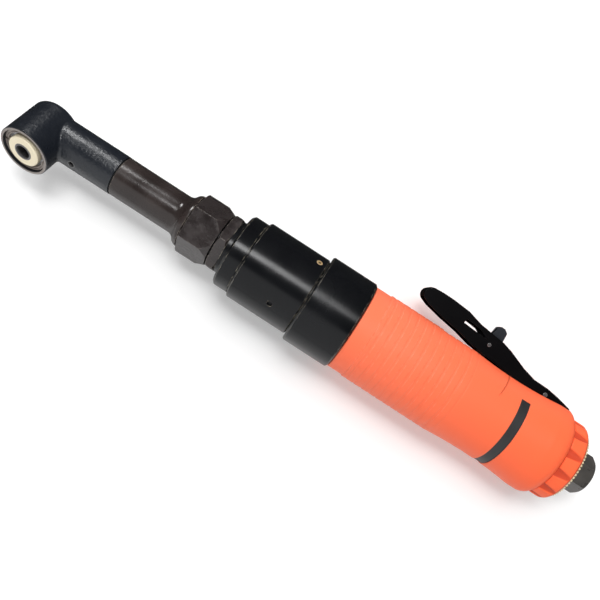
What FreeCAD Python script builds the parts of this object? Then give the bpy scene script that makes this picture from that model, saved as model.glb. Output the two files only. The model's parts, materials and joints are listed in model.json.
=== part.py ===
import FreeCAD, Part
import math
import os
import re
import Sketcher

# Right-angle pneumatic drill driver.
# Row frame: origin at the mouth of the air inlet on the tool axis, +X along the tool from the angle
# head to the inlet, +Y towards the throttle lever, +Z up with the tool lying on its side.
# Stations are distances along the tool from the spindle axis, so X = station - inlet_mouth.
# Heights in the head are distances along the spindle axis, counted from the back of its ball.

doc = FreeCAD.newDocument("angle_drill")
sheet = doc.addObject("Spreadsheet::Sheet", "Sizes")

SIZES = {
    # clearances
    "running_clearance": 0.04,
    "side_clearance": 0.3,
    "seat_clearance": 0.05,
    # angle head
    "spindle_lean": 53,
    "head_radius": 12.7,
    "head_back_height": 7.5,
    "head_front_height": 18.7,
    "head_back_round": 3.5,
    "head_back_wall": 1.75,
    "head_rim_width": 1.4,
    "head_bore_radius": 10.0,
    "edge_chamfer": 0.4,
    "neck_root_round": 1.6,
    "neck_radius": 10.15,
    "neck_end": 39.8,
    "neck_bore_radius": 8.0,
    "pinion_cavity_start": 5.1,
    "neck_thread_radius": 8.8,
    "neck_thread_length": 8.0,
    "neck_screw_station": 19.7,
    "neck_screw_radius": 1.5,
    "neck_screw_recess": 0.9,
    "neck_screw_length": 1.1,
    # spindle
    "spindle_radius": 4.8,
    "spindle_tail_radius": 3.0,
    "gear_seat_radius": 4.0,
    "gear_seat_start": 3.6,
    "gear_seat_end": 8.3,
    "spindle_nose_stand_out": 0.5,
    "nose_radius": 4.4,
    "nose_ring_radius": 7.9,
    "nose_ring_length": 3.6,
    "thread_bore_radius": 3.57,
    "thread_bore_length": 10.5,
    "front_bearing_width": 5.0,
    "rear_bearing_width": 3.5,
    "rear_bearing_radius": 4.8,
    "retainer_bore_radius": 9.2,
    "retainer_recess": 1.4,
    "retainer_thickness": 2.0,
    "retainer_groove_radius": 9.9,
    "retainer_groove_width": 0.5,
    "retainer_groove_depth": 0.5,
    "spanner_notch_width": 1.6,
    "race_recess": 0.4,
    "race_width": 1.0,
    # bevel gears
    "bevel_cone_distance": 10.0,
    "bevel_face_width": 3.4,
    "bevel_pinion_teeth": 12,
    "bevel_gear_teeth": 16,
    "bevel_addendum": 0.75,
    "bevel_dedendum": 1.05,
    "bevel_hub_length": 2.0,
    "bevel_gear_hub_radius": 6.4,
    "bevel_pinion_hub_radius": 4.6,
    "tooth_backlash": 0.16,
    "pressure_angle": 20,
    # pinion shaft and its bearings
    "pinion_shaft_radius": 4.0,
    "pinion_bearing_start": 12.4,
    "pinion_bearing_width": 5.0,
    "pinion_spacer_length": 9.0,
    "pinion_spacer_wall": 1.5,
    "bearing_nut_length": 2.5,
    "pinion_shaft_end": 37.0,
    # extension tube
    "seam_ring_width": 0.8,
    "seam_ring_recess": 0.6,
    "tube_radius": 10.0,
    "tube_length": 32.8,
    "tube_bore_radius": 6.4,
    "bell_length": 6.6,
    "bell_radius": 13.7,
    "tube_thread_radius": 11.0,
    "tube_thread_length": 9.0,
    "spanner_hole_station": 48.6,
    "spanner_hole_radius": 1.3,
    "spanner_hole_depth": 0.9,
    "shaft_bearing_width": 5.0,
    "shaft_bearing_radius": 8.0,
    # drive shaft
    "shaft_flats": 5.0,
    "shaft_sleeve_radius": 4.5,
    "shaft_socket_depth": 6.0,
    # coupling and lock nut
    "coupling_flats": 27.1,
    "coupling_turn_angle": 26.5,
    "coupling_gap": 0.5,
    "coupling_hex_length": 12.4,
    "coupling_taper_length": 3.3,
    "coupling_tail_radius": 14.3,
    "coupling_chamfer": 0.9,
    "lock_nut_gap": 0.9,
    "lock_nut_turn_angle": 3.5,
    "lock_nut_length": 4.8,
    "lock_nut_chamfer": 0.9,
    # gear case
    "case_nose_radius": 10.5,
    "case_nose_neck_length": 2.4,
    "case_neck_radius": 13.7,
    "cap_radius": 18.85,
    "cap_length": 8.0,
    "cap_chamfer": 1.0,
    "case_seam_width": 0.7,
    "case_seam_depth": 2.05,
    "case_wall": 2.15,
    "case_length": 32.9,
    "case_edge_chamfer": 0.5,
    "case_step_depth": 2.2,
    "case_step_length": 5.5,
    "case_spigot_wall": 1.4,
    "case_spigot_length": 14.3,
    "grease_plug_setback": 12.9,
    "grease_plug_angle": 126,
    "grease_plug_radius": 1.4,
    "grease_plug_recess": 1.2,
    "case_pin_setback": 3.9,
    "case_pin_angle": 37,
    "case_pin_radius": 1.4,
    "case_pin_hole_radius": 0.65,
    # planetary gears
    "gear_module": 0.75,
    "sun_teeth": 12,
    "planet_teeth": 15,
    "ring_teeth": 42,
    "gear_width": 11.0,
    "ring_gear_width": 13.5,
    "ring_gear_wall": 1.55,
    "planet_pin_radius": 1.8,
    "carrier_disc_radius": 13.5,
    "carrier_disc_length": 4.0,
    "carrier_hub_radius": 6.0,
    "carrier_bearing_radius": 10.5,
    "carrier_bearing_width": 5.0,
    # motor
    "plate_setback": 1.1,
    "plate_length": 6.0,
    "cylinder_length": 55.0,
    "cylinder_bore_radius": 13.3,
    "cylinder_offset": 1.2,
    "motor_fit_depth": 0.7,
    "rotor_radius": 12.0,
    "rotor_shaft_radius": 3.5,
    "sun_shaft_radius": 2.5,
    "rotor_end_gap": 0.3,
    "rotor_bearing_radius": 8.0,
    "rotor_bearing_width": 4.5,
    "vane_count": 5,
    "vane_thickness": 1.6,
    "vane_depth": 6.5,
    "dowel_radius": 1.0,
    "dowel_offset": 15.2,
    "gasket_length": 2.0,
    "port_radius": 1.9,
    "feed_port_height": 11.4,
    "exhaust_channel_radius": 2.2,
    "exhaust_channel_angle": 135,
    "exhaust_port_radius": 1.5,
    "exhaust_port_pitch": 9.0,
    "exhaust_port_count": 4,
    # motor housing
    "collar_gap": 0.4,
    "collar_length": 24.5,
    "collar_wall": 3.35,
    "collar_chamfer": 0.7,
    "motor_wall": 1.8,
    # handle
    "handle_gap": 0.3,
    "handle_length": 110.3,
    "handle_front_wall": 2.55,
    "handle_front_length": 8.4,
    "grip_wall": 3.05,
    "grip_length": 46.5,
    "waist_setback": 33.2,
    "waist_wall": 1.95,
    "pommel_wall": 3.45,
    "pommel_setback": 8.9,
    "pommel_length": 4.4,
    "handle_end_wall": 0.85,
    "handle_lip_length": 2.2,
    "handle_lip_depth": 2.0,
    "rib_setback": 5.9,
    "rib_pitch": 4.13,
    "rib_count": 15,
    "rib_width": 1.3,
    "rib_depth": 0.22,
    "band_setback": 29.0,
    "band_width": 4.6,
    "band_depth": 0.5,
    "band_thickness": 0.3,
    "band_first_angle": 48,
    "band_sweep_angle": 150,
    "lever_slot_reach": 56.0,
    "lever_slot_setback": 3.2,
    "lever_slot_half_width": 5.9,
    # valve body
    "valve_body_gap": 0.15,
    "valve_body_setback": 1.4,
    "valve_hub_radius": 8.3,
    "valve_reach": 20.0,
    "chamber_radius": 5.0,
    "seat_height": 7.5,
    "seat_length": 1.8,
    "bush_length": 6.0,
    "bush_radius": 3.2,
    "pin_radius": 1.5,
    "pin_top_rise": 4.9,
    "valve_head_radius": 4.2,
    "valve_head_length": 2.6,
    "chamber_plug_length": 6.0,
    "chamber_plug_recess": 2.7,
    "valve_spring_radius": 3.0,
    "valve_spring_wire": 0.5,
    "valve_spring_turns": 6,
    "inlet_passage_radius": 4.0,
    "exhaust_hole_radius": 2.2,
    "exhaust_hole_circle": 14.5,
    "exhaust_hole_count": 6,
    # throttle lever and latch
    "lever_pivot_setback": 17.4,
    "lever_pivot_rise": 2.9,
    "lever_half_width": 5.5,
    "lever_wall": 1.2,
    "lever_pin_radius": 1.0,
    "lug_half_width": 4.0,
    "lug_radius": 1.75,
    "latch_reach": 34.6,
    "latch_rise": 5.4,
    "latch_half_width": 2.6,
    "latch_pin_radius": 0.9,
    "latch_slot_ahead": 6.4,
    "latch_slot_behind": 6.8,
    "latch_spring_radius": 1.5,
    "latch_spring_wire": 0.3,
    "latch_spring_turns": 3,
    "lever_edge_round": 0.7,
    # exhaust cap and inlet
    "cap_gap": 0.4,
    "exhaust_cap_length": 8.4,
    "exhaust_cap_radius": 19.95,
    "exhaust_cap_rear_radius": 17.6,
    "exhaust_cap_round": 2.4,
    "exhaust_cap_wall": 1.9,
    "flute_count": 12,
    "flute_depth": 1.2,
    "flute_front_radius": 4.0,
    "flute_rear_radius": 3.2,
    "screen_radius": 16.9,
    "screen_thickness": 0.5,
    "screen_hole_radius": 0.8,
    "screen_hole_count": 24,
    "inlet_flats": 17.5,
    "inlet_turn_angle": 30,
    "inlet_hex_length": 11.4,
    "inlet_shank_radius": 7.0,
    "inlet_shank_length": 20.0,
    "inlet_bore_radius": 5.56,
    "inlet_bore_length": 11.4,
    "inlet_chamfer": 1.4,
    "inlet_screen_radius": 5.0,
    "inlet_screen_length": 1.0,
}

# Side outlines of the lever, its window and the latch: distance ahead of the pivot (towards the
# head) and height above the pivot, in the order they are met going round.
LEVER_TOP = [(73.6, 9.2), (73.9, 10.6), (73.4, 12.2), (72.2, 13.4), (70.4, 14.1), (65.0, 14.4),
             (59.6, 14.3), (50.6, 13.6), (46.5, 12.5), (42.5, 11.5), (29.0, 9.9), (24.0, 8.5),
             (14.6, 5.0), (8.0, 3.3), (0.0, 3.1), (-6.0, 2.2), (-13.2, 0.6)]
LEVER_BOTTOM = [(-13.2, -0.7), (-6.0, -1.5), (8.0, -1.7), (24.0, -0.8), (35.5, 0.2), (41.0, 0.8),
                (50.1, 2.9), (59.6, 4.3), (68.4, 6.1), (72.3, 7.7)]
LEVER_WINDOW = [(50.2, 7.8), (49.7, 10.1), (42.0, 9.4), (37.0, 6.9)]
LATCH_OUTLINE = [(0.7, 4.5), (0.0, 9.6), (-1.2, 10.6), (-3.2, 10.5), (-5.0, 9.2), (-5.4, 4.5),
                 (-3.8, 0.5), (-2.3, -5.4), (2.0, -5.4), (2.8, -2.0), (2.4, 1.2)]
OUTLINES = {
    "lever_top": LEVER_TOP,
    "lever_bottom": LEVER_BOTTOM,
    "lever_window": LEVER_WINDOW,
    "latch": LATCH_OUTLINE,
}
for outline_name, outline_points in OUTLINES.items():
    for point_number, (ahead, above) in enumerate(outline_points, 1):
        SIZES[f"{outline_name}_ahead_{point_number}"] = ahead
        SIZES[f"{outline_name}_above_{point_number}"] = above

for row, (alias, number) in enumerate(SIZES.items(), 1):
    sheet.set(f"A{row}", alias)
    sheet.set(f"B{row}", str(number))
    sheet.setAlias(f"B{row}", alias)
doc.recompute()

nodes = {}


# ---------------------------------------------------------------- formulas
def bound(formula):
    """The formula with each size name pointing at its cell in the sheet."""
    def spelled_out(word):
        name = word.group()
        if name in RULES:
            return "(" + bound(RULES[name]) + ")"
        return "Sizes." + name if name in SIZES else name
    return re.sub(r"[a-z]\w*", spelled_out, formula)


def value(formula):
    """The number that a formula gives with the sizes as they stand in the sheet."""
    return float(sheet.evalExpression(bound(formula)))


# Stations along the tool, built up from the lengths of the pieces.
tube_start = "(neck_end + seam_ring_width)"
bell_start = f"({tube_start} + tube_length)"
bell_end = f"({bell_start} + bell_length)"
coupling_start = f"({bell_end} + coupling_gap)"
coupling_hex_end = f"({coupling_start} + coupling_hex_length)"
coupling_end = f"({coupling_hex_end} + coupling_taper_length)"
lock_start = f"({coupling_end} + lock_nut_gap)"
lock_end = f"({lock_start} + lock_nut_length)"
cap_start = f"({lock_end} + case_nose_neck_length)"
cap_end = f"({cap_start} + cap_length)"
case_start = f"({cap_end} + case_seam_width)"
case_end = f"({case_start} + case_length)"
spigot_end = f"({case_end} + case_spigot_length)"
ring_start = f"({case_start} + case_step_length)"
ring_end = f"({ring_start} + ring_gear_width)"
gears_start = f"({ring_start} + side_clearance * 3)"
gears_end = f"({gears_start} + gear_width)"
front_plate_start = f"({case_end} + plate_setback)"
cylinder_start = f"({front_plate_start} + plate_length)"
cylinder_end = f"({cylinder_start} + cylinder_length)"
rear_plate_end = f"({cylinder_end} + plate_length)"
body_start = f"({rear_plate_end} + gasket_length)"
collar_start = f"({case_end} + collar_gap)"
collar_end = f"({collar_start} + collar_length)"
handle_start = f"({collar_end} + handle_gap)"
handle_end = f"({handle_start} + handle_length)"
exhaust_start = f"({handle_end} + cap_gap)"
exhaust_end = f"({exhaust_start} + exhaust_cap_length)"
screen_end = f"({exhaust_end} + screen_thickness)"
hex_start = f"({screen_end} + side_clearance)"
inlet_mouth = f"({hex_start} + inlet_hex_length)"

# Sizes that follow from others, so that pieces which fit together stay together.
RULES = {
    "case_bore_radius": "gear_module * (ring_teeth / 2 + 1.2) + ring_gear_wall",
    "case_radius": "case_bore_radius + case_wall",
    "case_seam_radius": "case_radius - case_seam_depth",
    "case_step_radius": "case_bore_radius - case_step_depth",
    "case_spigot_radius": "case_bore_radius + case_spigot_wall",
    "motor_radius": "case_bore_radius - motor_fit_depth",
    "housing_radius": "motor_radius + motor_wall",
    "collar_radius": "case_spigot_radius + collar_wall",
    "handle_bore_radius": "housing_radius + seat_clearance",
    "handle_front_radius": "handle_bore_radius + handle_front_wall",
    "grip_radius": "handle_bore_radius + grip_wall",
    "waist_radius": "handle_bore_radius + waist_wall",
    "pommel_radius": "handle_bore_radius + pommel_wall",
    "handle_end_radius": "handle_bore_radius + handle_end_wall",
    "band_floor_radius": "waist_radius - band_depth",
    "band_radius": "band_floor_radius + band_thickness",
    "valve_body_radius": "handle_bore_radius - valve_body_gap",
    "handle_lip_radius": "valve_body_radius - handle_lip_depth",
    "chamber_bottom_height": "valve_body_radius - chamber_plug_recess - chamber_plug_length",
    "lever_pivot_height": "valve_body_radius + lever_pivot_rise",
    "latch_pivot_height": "lever_pivot_height + latch_rise",
    "pin_top_height": "lever_pivot_height + pin_top_rise",
    "rib_start": f"{handle_start} + rib_setback",
    "waist_station": f"{handle_end} - waist_setback",
    "pommel_start": f"{handle_end} - pommel_setback",
    "band_start": f"{handle_end} - band_setback",
    "valve_body_end": f"{handle_end} - valve_body_setback",
    "lever_pivot_station": f"{handle_end} - lever_pivot_setback",
    "lever_slot_start": "lever_pivot_station - lever_slot_reach",
    "lever_slot_end": f"{handle_end} - lever_slot_setback",
    "valve_station": "lever_pivot_station - valve_reach",
    "latch_pivot_station": "lever_pivot_station - latch_reach",
    "latch_slot_start": "latch_pivot_station - latch_slot_ahead",
    "latch_slot_end": "latch_pivot_station + latch_slot_behind",
}

# Heights in the head, counted from the back of the ball that closes the neck behind the spindle.
crossing = "neck_radius"
head_back = f"({crossing} - head_back_height)"
head_front = f"({crossing} + head_front_height)"
rear_bearing_end = "(head_back_wall + rear_bearing_width)"
retainer_face = f"({head_front} - retainer_recess)"
front_bearing_end = f"({head_front} - retainer_recess - retainer_thickness)"
front_bearing_start = f"({front_bearing_end} - front_bearing_width)"
nose_face = f"({head_front} + spindle_nose_stand_out)"


# ---------------------------------------------------------------- places
def along_tool(turn="0"):
    """Local X on the tool axis, turned about it from +Y towards +Z."""
    return bound(f"placement(vector(-{inlet_mouth}; 0; 0); rotation(vector(1; 0; 0); {turn}))")


def along_spindle():
    """Local X on the spindle axis, out of the back of the head."""
    return bound(f"placement(vector(-{inlet_mouth}; {crossing} * sin(spindle_lean); "
                 f"-{crossing} * cos(spindle_lean)); "
                 "rotation(vector(0; -cos(spindle_lean); -sin(spindle_lean)); 90))")


def along_lever_side(station):
    """Local X along +Y from the tool axis, at a station."""
    return bound(f"placement(vector({station} - {inlet_mouth}; 0; 0); "
                 "rotation(vector(0; 0; 1); 90))")


def bar_place(station, sideways="0", upwards="0"):
    """Local Z along the tool, for bars and prisms."""
    return bound(f"placement(vector({station} - {inlet_mouth}; {sideways}; {upwards}); "
                 "rotation(vector(0; 1; 0); 90))")


def hexagon_place(station, turn):
    """Local Z along the tool, a corner turned from +Z towards +Y."""
    return bound(f"placement(vector({station} - {inlet_mouth}; 0; 0); "
                 f"rotation(vector(1; 0; 0); -{turn})) * "
                 "placement(vector(0; 0; 0); rotation(vector(0; 1; 0); 90))")


def radial_place(station, depth, angle):
    """Local Z pointing out of the tool at an angle from +Y towards +Z, from a depth."""
    return bound(f"placement(vector({station} - {inlet_mouth}; {depth} * cos({angle}); "
                 f"{depth} * sin({angle})); rotation(vector(1; 0; 0); {angle} - 90))")


def upright_place(station, sideways, start):
    """Local Z along +Z."""
    return bound(f"placement(vector({station} - {inlet_mouth}; {sideways}; {start}); "
                 "rotation(vector(0; 0; 1); 0))")


# ---------------------------------------------------------------- building blocks
def origin_plane(body, role):
    return [plane for plane in body.Origin.OriginFeatures if plane.Role == role][0]


def origin_axis(body, role):
    return (origin_plane(body, role), [""])


def outline_sketch(body, name, points, plane="XY_Plane"):
    """Closed outline through points given as pairs of formulas, each point bound to the sheet.

    A single formula between two pairs makes that side an arc whose centre stands at this x.
    """
    sketch = body.newObject("Sketcher::SketchObject", name)
    sketch.AttachmentSupport = [(origin_plane(body, plane), "")]
    sketch.MapMode = "FlatFace"
    corners = [point for point in points if isinstance(point, tuple)]
    arcs = {}
    corner_count = 0
    for point in points:
        if isinstance(point, tuple):
            corner_count += 1
        else:
            arcs[corner_count - 1] = point
    places = [FreeCAD.Vector(value(x), value(y), 0) for x, y in corners]
    starts = []
    ends = []
    for number, place in enumerate(places):
        following = places[(number + 1) % len(places)]
        if number in arcs:
            centre_x = value(arcs[number])
            rise = following.y - place.y
            squares = following.x ** 2 - place.x ** 2 + following.y ** 2 - place.y ** 2
            centre_y = (squares - 2 * centre_x * (following.x - place.x)) / (2 * rise)
            centre = FreeCAD.Vector(centre_x, centre_y, 0)
            radius = (place - centre).Length
            first = math.atan2(place.y - centre.y, place.x - centre.x)
            last = math.atan2(following.y - centre.y, following.x - centre.x)
            forward = (last - first) % (2 * math.pi) < math.pi
            circle = Part.Circle(centre, FreeCAD.Vector(0, 0, 1), radius)
            if forward:
                side = sketch.addGeometry(Part.ArcOfCircle(circle, first, last))
            else:
                side = sketch.addGeometry(Part.ArcOfCircle(circle, last, first))
            starts.append((side, 1 if forward else 2))
            ends.append((side, 2 if forward else 1))
        else:
            side = sketch.addGeometry(Part.LineSegment(place, following))
            starts.append((side, 1))
            ends.append((side, 2))
    for number, end in enumerate(ends):
        sketch.addConstraint(Sketcher.Constraint("Coincident", *end,
                                                 *starts[(number + 1) % len(starts)]))
    for number, (x, y) in enumerate(corners):
        for kind, formula, distance in (("DistanceX", x, places[number].x),
                                        ("DistanceY", y, places[number].y)):
            index = sketch.addConstraint(Sketcher.Constraint(kind, -1, 1, *starts[number],
                                                             distance))
            sketch.setExpression(f"Constraints[{index}]", bound(formula))
    for number, formula in arcs.items():
        side = starts[number][0]
        index = sketch.addConstraint(Sketcher.Constraint("DistanceX", -1, 1, side, 3,
                                                         value(formula)))
        sketch.setExpression(f"Constraints[{index}]", bound(formula))
    return sketch


def turned(label, points, place=None):
    """A piece turned about its own X axis from an outline of (x, radius) formulas."""
    body = doc.addObject("PartDesign::Body", label)
    sketch = outline_sketch(body, label + "_outline", points)
    turn = body.newObject("PartDesign::Revolution", label + "_turn")
    turn.Profile = sketch
    turn.ReferenceAxis = (sketch, ["H_Axis"])
    turn.Angle = 360
    body.setExpression("Placement", place or along_tool())
    return body


def sleeve(label, start, end, outer, inner, place=None, chamfer="edge_chamfer"):
    """A plain turned sleeve with its outer edges broken."""
    points = [(start, inner), (start, f"{outer} - {chamfer}"), (f"{start} + {chamfer}", outer),
              (f"{end} - {chamfer}", outer), (end, f"{outer} - {chamfer}"), (end, inner)]
    return turned(label, points, place)


def ball_bearing(label, start, width, outer, inner, place=None):
    """A shielded ball bearing as one ring, its shields set back between the two races."""
    end = f"({start} + {width})"
    points = [(start, inner), (start, f"{inner} + race_width"),
              (f"{start} + race_recess", f"{inner} + race_width"),
              (f"{start} + race_recess", f"{outer} - race_width"),
              (start, f"{outer} - race_width"), (start, outer), (end, outer),
              (end, f"{outer} - race_width"), (f"{end} - race_recess", f"{outer} - race_width"),
              (f"{end} - race_recess", f"{inner} + race_width"),
              (end, f"{inner} + race_width"), (end, inner)]
    return turned(label, points, place)


def bar(radius, length, place):
    """A plain round bar along its local Z."""
    cylinder = doc.addObject("Part::Cylinder", "bar")
    cylinder.setExpression("Radius", bound(radius))
    cylinder.setExpression("Height", bound(length))
    cylinder.setExpression("Placement", place)
    return cylinder


def hexagon(flats, length, place):
    """A hexagonal prism along its local Z, given across its flats."""
    prism = doc.addObject("Part::Prism", "hexagon")
    prism.Polygon = 6
    prism.setExpression("Circumradius", bound(f"({flats}) / 2 / cos(30)"))
    prism.setExpression("Height", bound(length))
    prism.setExpression("Placement", place)
    return prism


def block(length, width, height, place):
    """A rectangular block, its middle in Y on the place."""
    box = doc.addObject("Part::Box", "block")
    box.setExpression("Length", bound(length))
    box.setExpression("Width", bound(width))
    box.setExpression("Height", bound(height))
    box.setExpression("Placement", place)
    return box


def fuse(label, *shapes):
    joined = doc.addObject("Part::MultiFuse", label)
    joined.Shapes = list(shapes)
    return joined


def common(label, *shapes):
    shared = doc.addObject("Part::MultiCommon", label)
    shared.Shapes = list(shapes)
    return shared


def cut(label, base, *tools):
    for number, tool in enumerate(tools):
        remaining = doc.addObject("Part::Cut", f"{label}_cut")
        remaining.Base = base
        remaining.Tool = tool
        base = remaining
    return base


def node(label, shape):
    """Name a finished piece and put it on the list of pieces to write."""
    shape.Label = label
    nodes[label] = shape
    return shape


# ---------------------------------------------------------------- angle housing
head = turned("head_blank", [
    (head_back, "0"), (head_back, "head_radius - head_back_round"),
    f"{head_back} + head_back_round", (f"{head_back} + head_back_round", "head_radius"),
    (f"{head_front} - edge_chamfer", "head_radius"),
    (head_front, "head_radius - edge_chamfer"), (head_front, "0")], along_spindle())
neck = turned("neck_blank", [
    ("0", "0"), ("0", "neck_radius"), ("neck_end", "neck_radius"),
    ("neck_end", "neck_thread_radius"), ("neck_end + neck_thread_length", "neck_thread_radius"),
    ("neck_end + neck_thread_length", "0")])
head_bore = turned("head_bore", [
    ("head_back_wall", "0"), ("head_back_wall", "rear_bearing_radius"),
    (rear_bearing_end, "rear_bearing_radius"), (rear_bearing_end, "head_bore_radius"),
    (front_bearing_end, "head_bore_radius"),
    (front_bearing_end, "head_radius - head_rim_width"),
    (f"{head_front} + 1", "head_radius - head_rim_width"), (f"{head_front} + 1", "0")],
    along_spindle())
neck_bore = bar("neck_bore_radius", "neck_end + neck_thread_length + 1",
                bar_place("pinion_cavity_start"))
neck_ball = doc.addObject("Part::Sphere", "neck_ball")
neck_ball.setExpression("Radius", bound("neck_radius"))
neck_ball.setExpression("Placement", along_tool())
neck_screw_hole = doc.addObject("Part::Cylinder", "neck_screw_hole")
neck_screw_hole.setExpression("Radius", bound("neck_screw_radius"))
neck_screw_hole.setExpression("Height", bound("neck_radius"))
neck_screw_hole.setExpression("Placement", radial_place(
    "neck_screw_station", "neck_bore_radius", "(90 + spindle_lean)"))
housing_blank = fuse("housing_blank", head, neck, neck_ball)
doc.recompute()
housing_rounded = doc.addObject("Part::Fillet", "housing_rounded")
housing_rounded.Base = housing_blank
housing_rounded.Edges = [
    (number, value("neck_root_round"), value("neck_root_round"))
    for number, edge in enumerate(housing_blank.Shape.Edges, 1)
    if edge.Curve.TypeId == "Part::GeomBSplineCurve"]
node("angle_housing", cut("angle_housing", housing_rounded, head_bore, neck_bore,
                          neck_screw_hole))

screw_top = "(neck_radius - neck_screw_recess)"
screw_blank = bar("neck_screw_radius", "neck_screw_length", radial_place(
    "neck_screw_station", f"({screw_top} - neck_screw_length)", "(90 + spindle_lean)"))
screw_socket = hexagon("neck_screw_radius", "neck_screw_length / 2", radial_place(
    "neck_screw_station", f"({screw_top} - neck_screw_length / 2)", "(90 + spindle_lean)"))
node("neck_screw", cut("neck_screw", screw_blank, screw_socket))

# ---------------------------------------------------------------- spindle and its bearings
tail_start = "(head_back_wall + side_clearance)"
seat_start = f"({crossing} + gear_seat_start)"
seat_end = f"({crossing} + gear_seat_end)"
drill_end = f"({nose_face} - thread_bore_length - thread_bore_radius / 2)"
node("output_spindle", turned("output_spindle", [
    (tail_start, "0"), (tail_start, "spindle_tail_radius"),
    (seat_start, "spindle_tail_radius"), (seat_start, "gear_seat_radius"),
    (seat_end, "gear_seat_radius"), (seat_end, "spindle_radius"),
    (f"{nose_face} - nose_ring_length", "spindle_radius"),
    (f"{nose_face} - nose_ring_length", "nose_radius"),
    (f"{nose_face} - edge_chamfer / 2", "nose_radius"),
    (nose_face, "nose_radius - edge_chamfer / 2"), (nose_face, "thread_bore_radius"),
    (f"{nose_face} - thread_bore_length", "thread_bore_radius"), (drill_end, "edge_chamfer"),
    (drill_end, "0")], along_spindle()))
node("nose_ring", sleeve("nose_ring", f"({nose_face} - nose_ring_length)",
                         f"({nose_face} - edge_chamfer / 2)", "nose_ring_radius",
                         "nose_radius", along_spindle()))
node("front_spindle_bearing", ball_bearing(
    "front_spindle_bearing", front_bearing_start, "front_bearing_width", "head_bore_radius",
    "spindle_radius + running_clearance", along_spindle()))
node("rear_spindle_bearing", ball_bearing(
    "rear_spindle_bearing", "head_back_wall", "rear_bearing_width", "rear_bearing_radius",
    "spindle_tail_radius + running_clearance", along_spindle()))

# The retainer ring has a groove round its face and two notches for a pin spanner.
retainer_outer = "(head_radius - head_rim_width)"
groove_inside = "retainer_groove_radius - retainer_groove_width / 2"
groove_outside = "retainer_groove_radius + retainer_groove_width / 2"
retainer = turned("retainer_blank", [
    (front_bearing_end, "retainer_bore_radius"), (front_bearing_end, retainer_outer),
    (f"{retainer_face} - edge_chamfer", retainer_outer),
    (retainer_face, f"{retainer_outer} - edge_chamfer"),
    (retainer_face, groove_outside),
    (f"{retainer_face} - retainer_groove_depth", groove_outside),
    (f"{retainer_face} - retainer_groove_depth", groove_inside),
    (retainer_face, groove_inside),
    (retainer_face, "retainer_bore_radius")], along_spindle())
notch = block("head_radius * 2", "spanner_notch_width", "retainer_recess", bound(
    f"placement(vector(-{inlet_mouth} - head_radius; 0; 0); "
    "rotation(vector(1; 0; 0); spindle_lean)) * "
    f"placement(vector(0; -spanner_notch_width / 2; {retainer_face} - {crossing} - "
    "retainer_recess * 0.7); rotation(vector(0; 0; 1); 0))"))
node("bearing_retainer", cut("bearing_retainer", retainer, notch))


# ---------------------------------------------------------------- teeth
def half_tooth_angle(radius, pitch_radius, teeth):
    """Half the angle that an involute tooth spans at a radius, thinned for backlash."""
    pressure = math.radians(value("pressure_angle"))
    base = pitch_radius * math.cos(pressure)
    at_radius = math.acos(min(1.0, base / max(radius, base)))
    involute_here = math.tan(at_radius) - at_radius
    involute_pitch = math.tan(pressure) - pressure
    thinning = value("tooth_backlash") / 2 / pitch_radius
    return math.pi / 2 / teeth - thinning + involute_pitch - involute_here


def toothed_outline(x, teeth, flank, phase=0.0):
    """Closed outline across the X axis: flank gives (radius, half angle) from root to tip."""
    points = []
    for tooth in range(teeth):
        middle = phase + 2 * math.pi * tooth / teeth
        rising = [(radius, middle - half) for radius, half in flank]
        falling = [(radius, middle + half) for radius, half in reversed(flank)]
        for radius, angle in rising + falling:
            points.append(FreeCAD.Vector(x, radius * math.cos(angle), radius * math.sin(angle)))
    return Part.makePolygon(points + points[:1])


def spur_flank(teeth, root_radius, tip_radius):
    pitch_radius = value("gear_module") * teeth / 2
    radii = [root_radius, pitch_radius, tip_radius]
    return [(radius, half_tooth_angle(radius, pitch_radius, teeth)) for radius in radii]


def spur_gear(label, teeth, start, length, bore, place):
    """External gear along X, one tooth centred on local +Y."""
    size = value("gear_module")
    pitch_radius = size * teeth / 2
    flank = spur_flank(teeth, pitch_radius - 1.2 * size, pitch_radius + 0.85 * size)
    outline = Part.Face(toothed_outline(value(start), teeth, flank))
    solid = outline.extrude(FreeCAD.Vector(value(length), 0, 0))
    hole = Part.makeCylinder(value(bore), value(length), FreeCAD.Vector(value(start), 0, 0),
                             FreeCAD.Vector(1, 0, 0))
    gear = doc.addObject("Part::Feature", label)
    gear.Shape = solid.cut(hole)
    gear.setExpression("Placement", place)
    return gear


sun_count = int(value("sun_teeth"))
planet_count = int(value("planet_teeth"))
ring_count = int(value("ring_teeth"))
node("sun_gear", spur_gear("sun_gear", sun_count, gears_start, "gear_width",
                           "sun_shaft_radius", along_tool()))

# The ring gear's spaces have the shape of a planet's teeth, with one space centred on +Y.
size_of_teeth = value("gear_module")
ring_pitch = size_of_teeth * ring_count / 2
space_flank = []
for space_radius in (ring_pitch - 0.6 * size_of_teeth, ring_pitch,
                     ring_pitch + 1.2 * size_of_teeth):
    half_space = half_tooth_angle(space_radius, ring_pitch, ring_count)
    half_space += value("tooth_backlash") / ring_pitch
    space_flank.append((space_radius, half_space))
ring_space = Part.Face(toothed_outline(value(ring_start), ring_count, space_flank))
ring_blank = Part.makeCylinder(value("case_bore_radius"), value("ring_gear_width"),
                               FreeCAD.Vector(value(ring_start), 0, 0),
                               FreeCAD.Vector(1, 0, 0))
ring_gear = doc.addObject("Part::Feature", "ring_gear")
ring_gear.Shape = ring_blank.cut(
    ring_space.extrude(FreeCAD.Vector(value("ring_gear_width"), 0, 0)))
ring_gear.setExpression("Placement", along_tool())
node("ring_gear", ring_gear)

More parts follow.
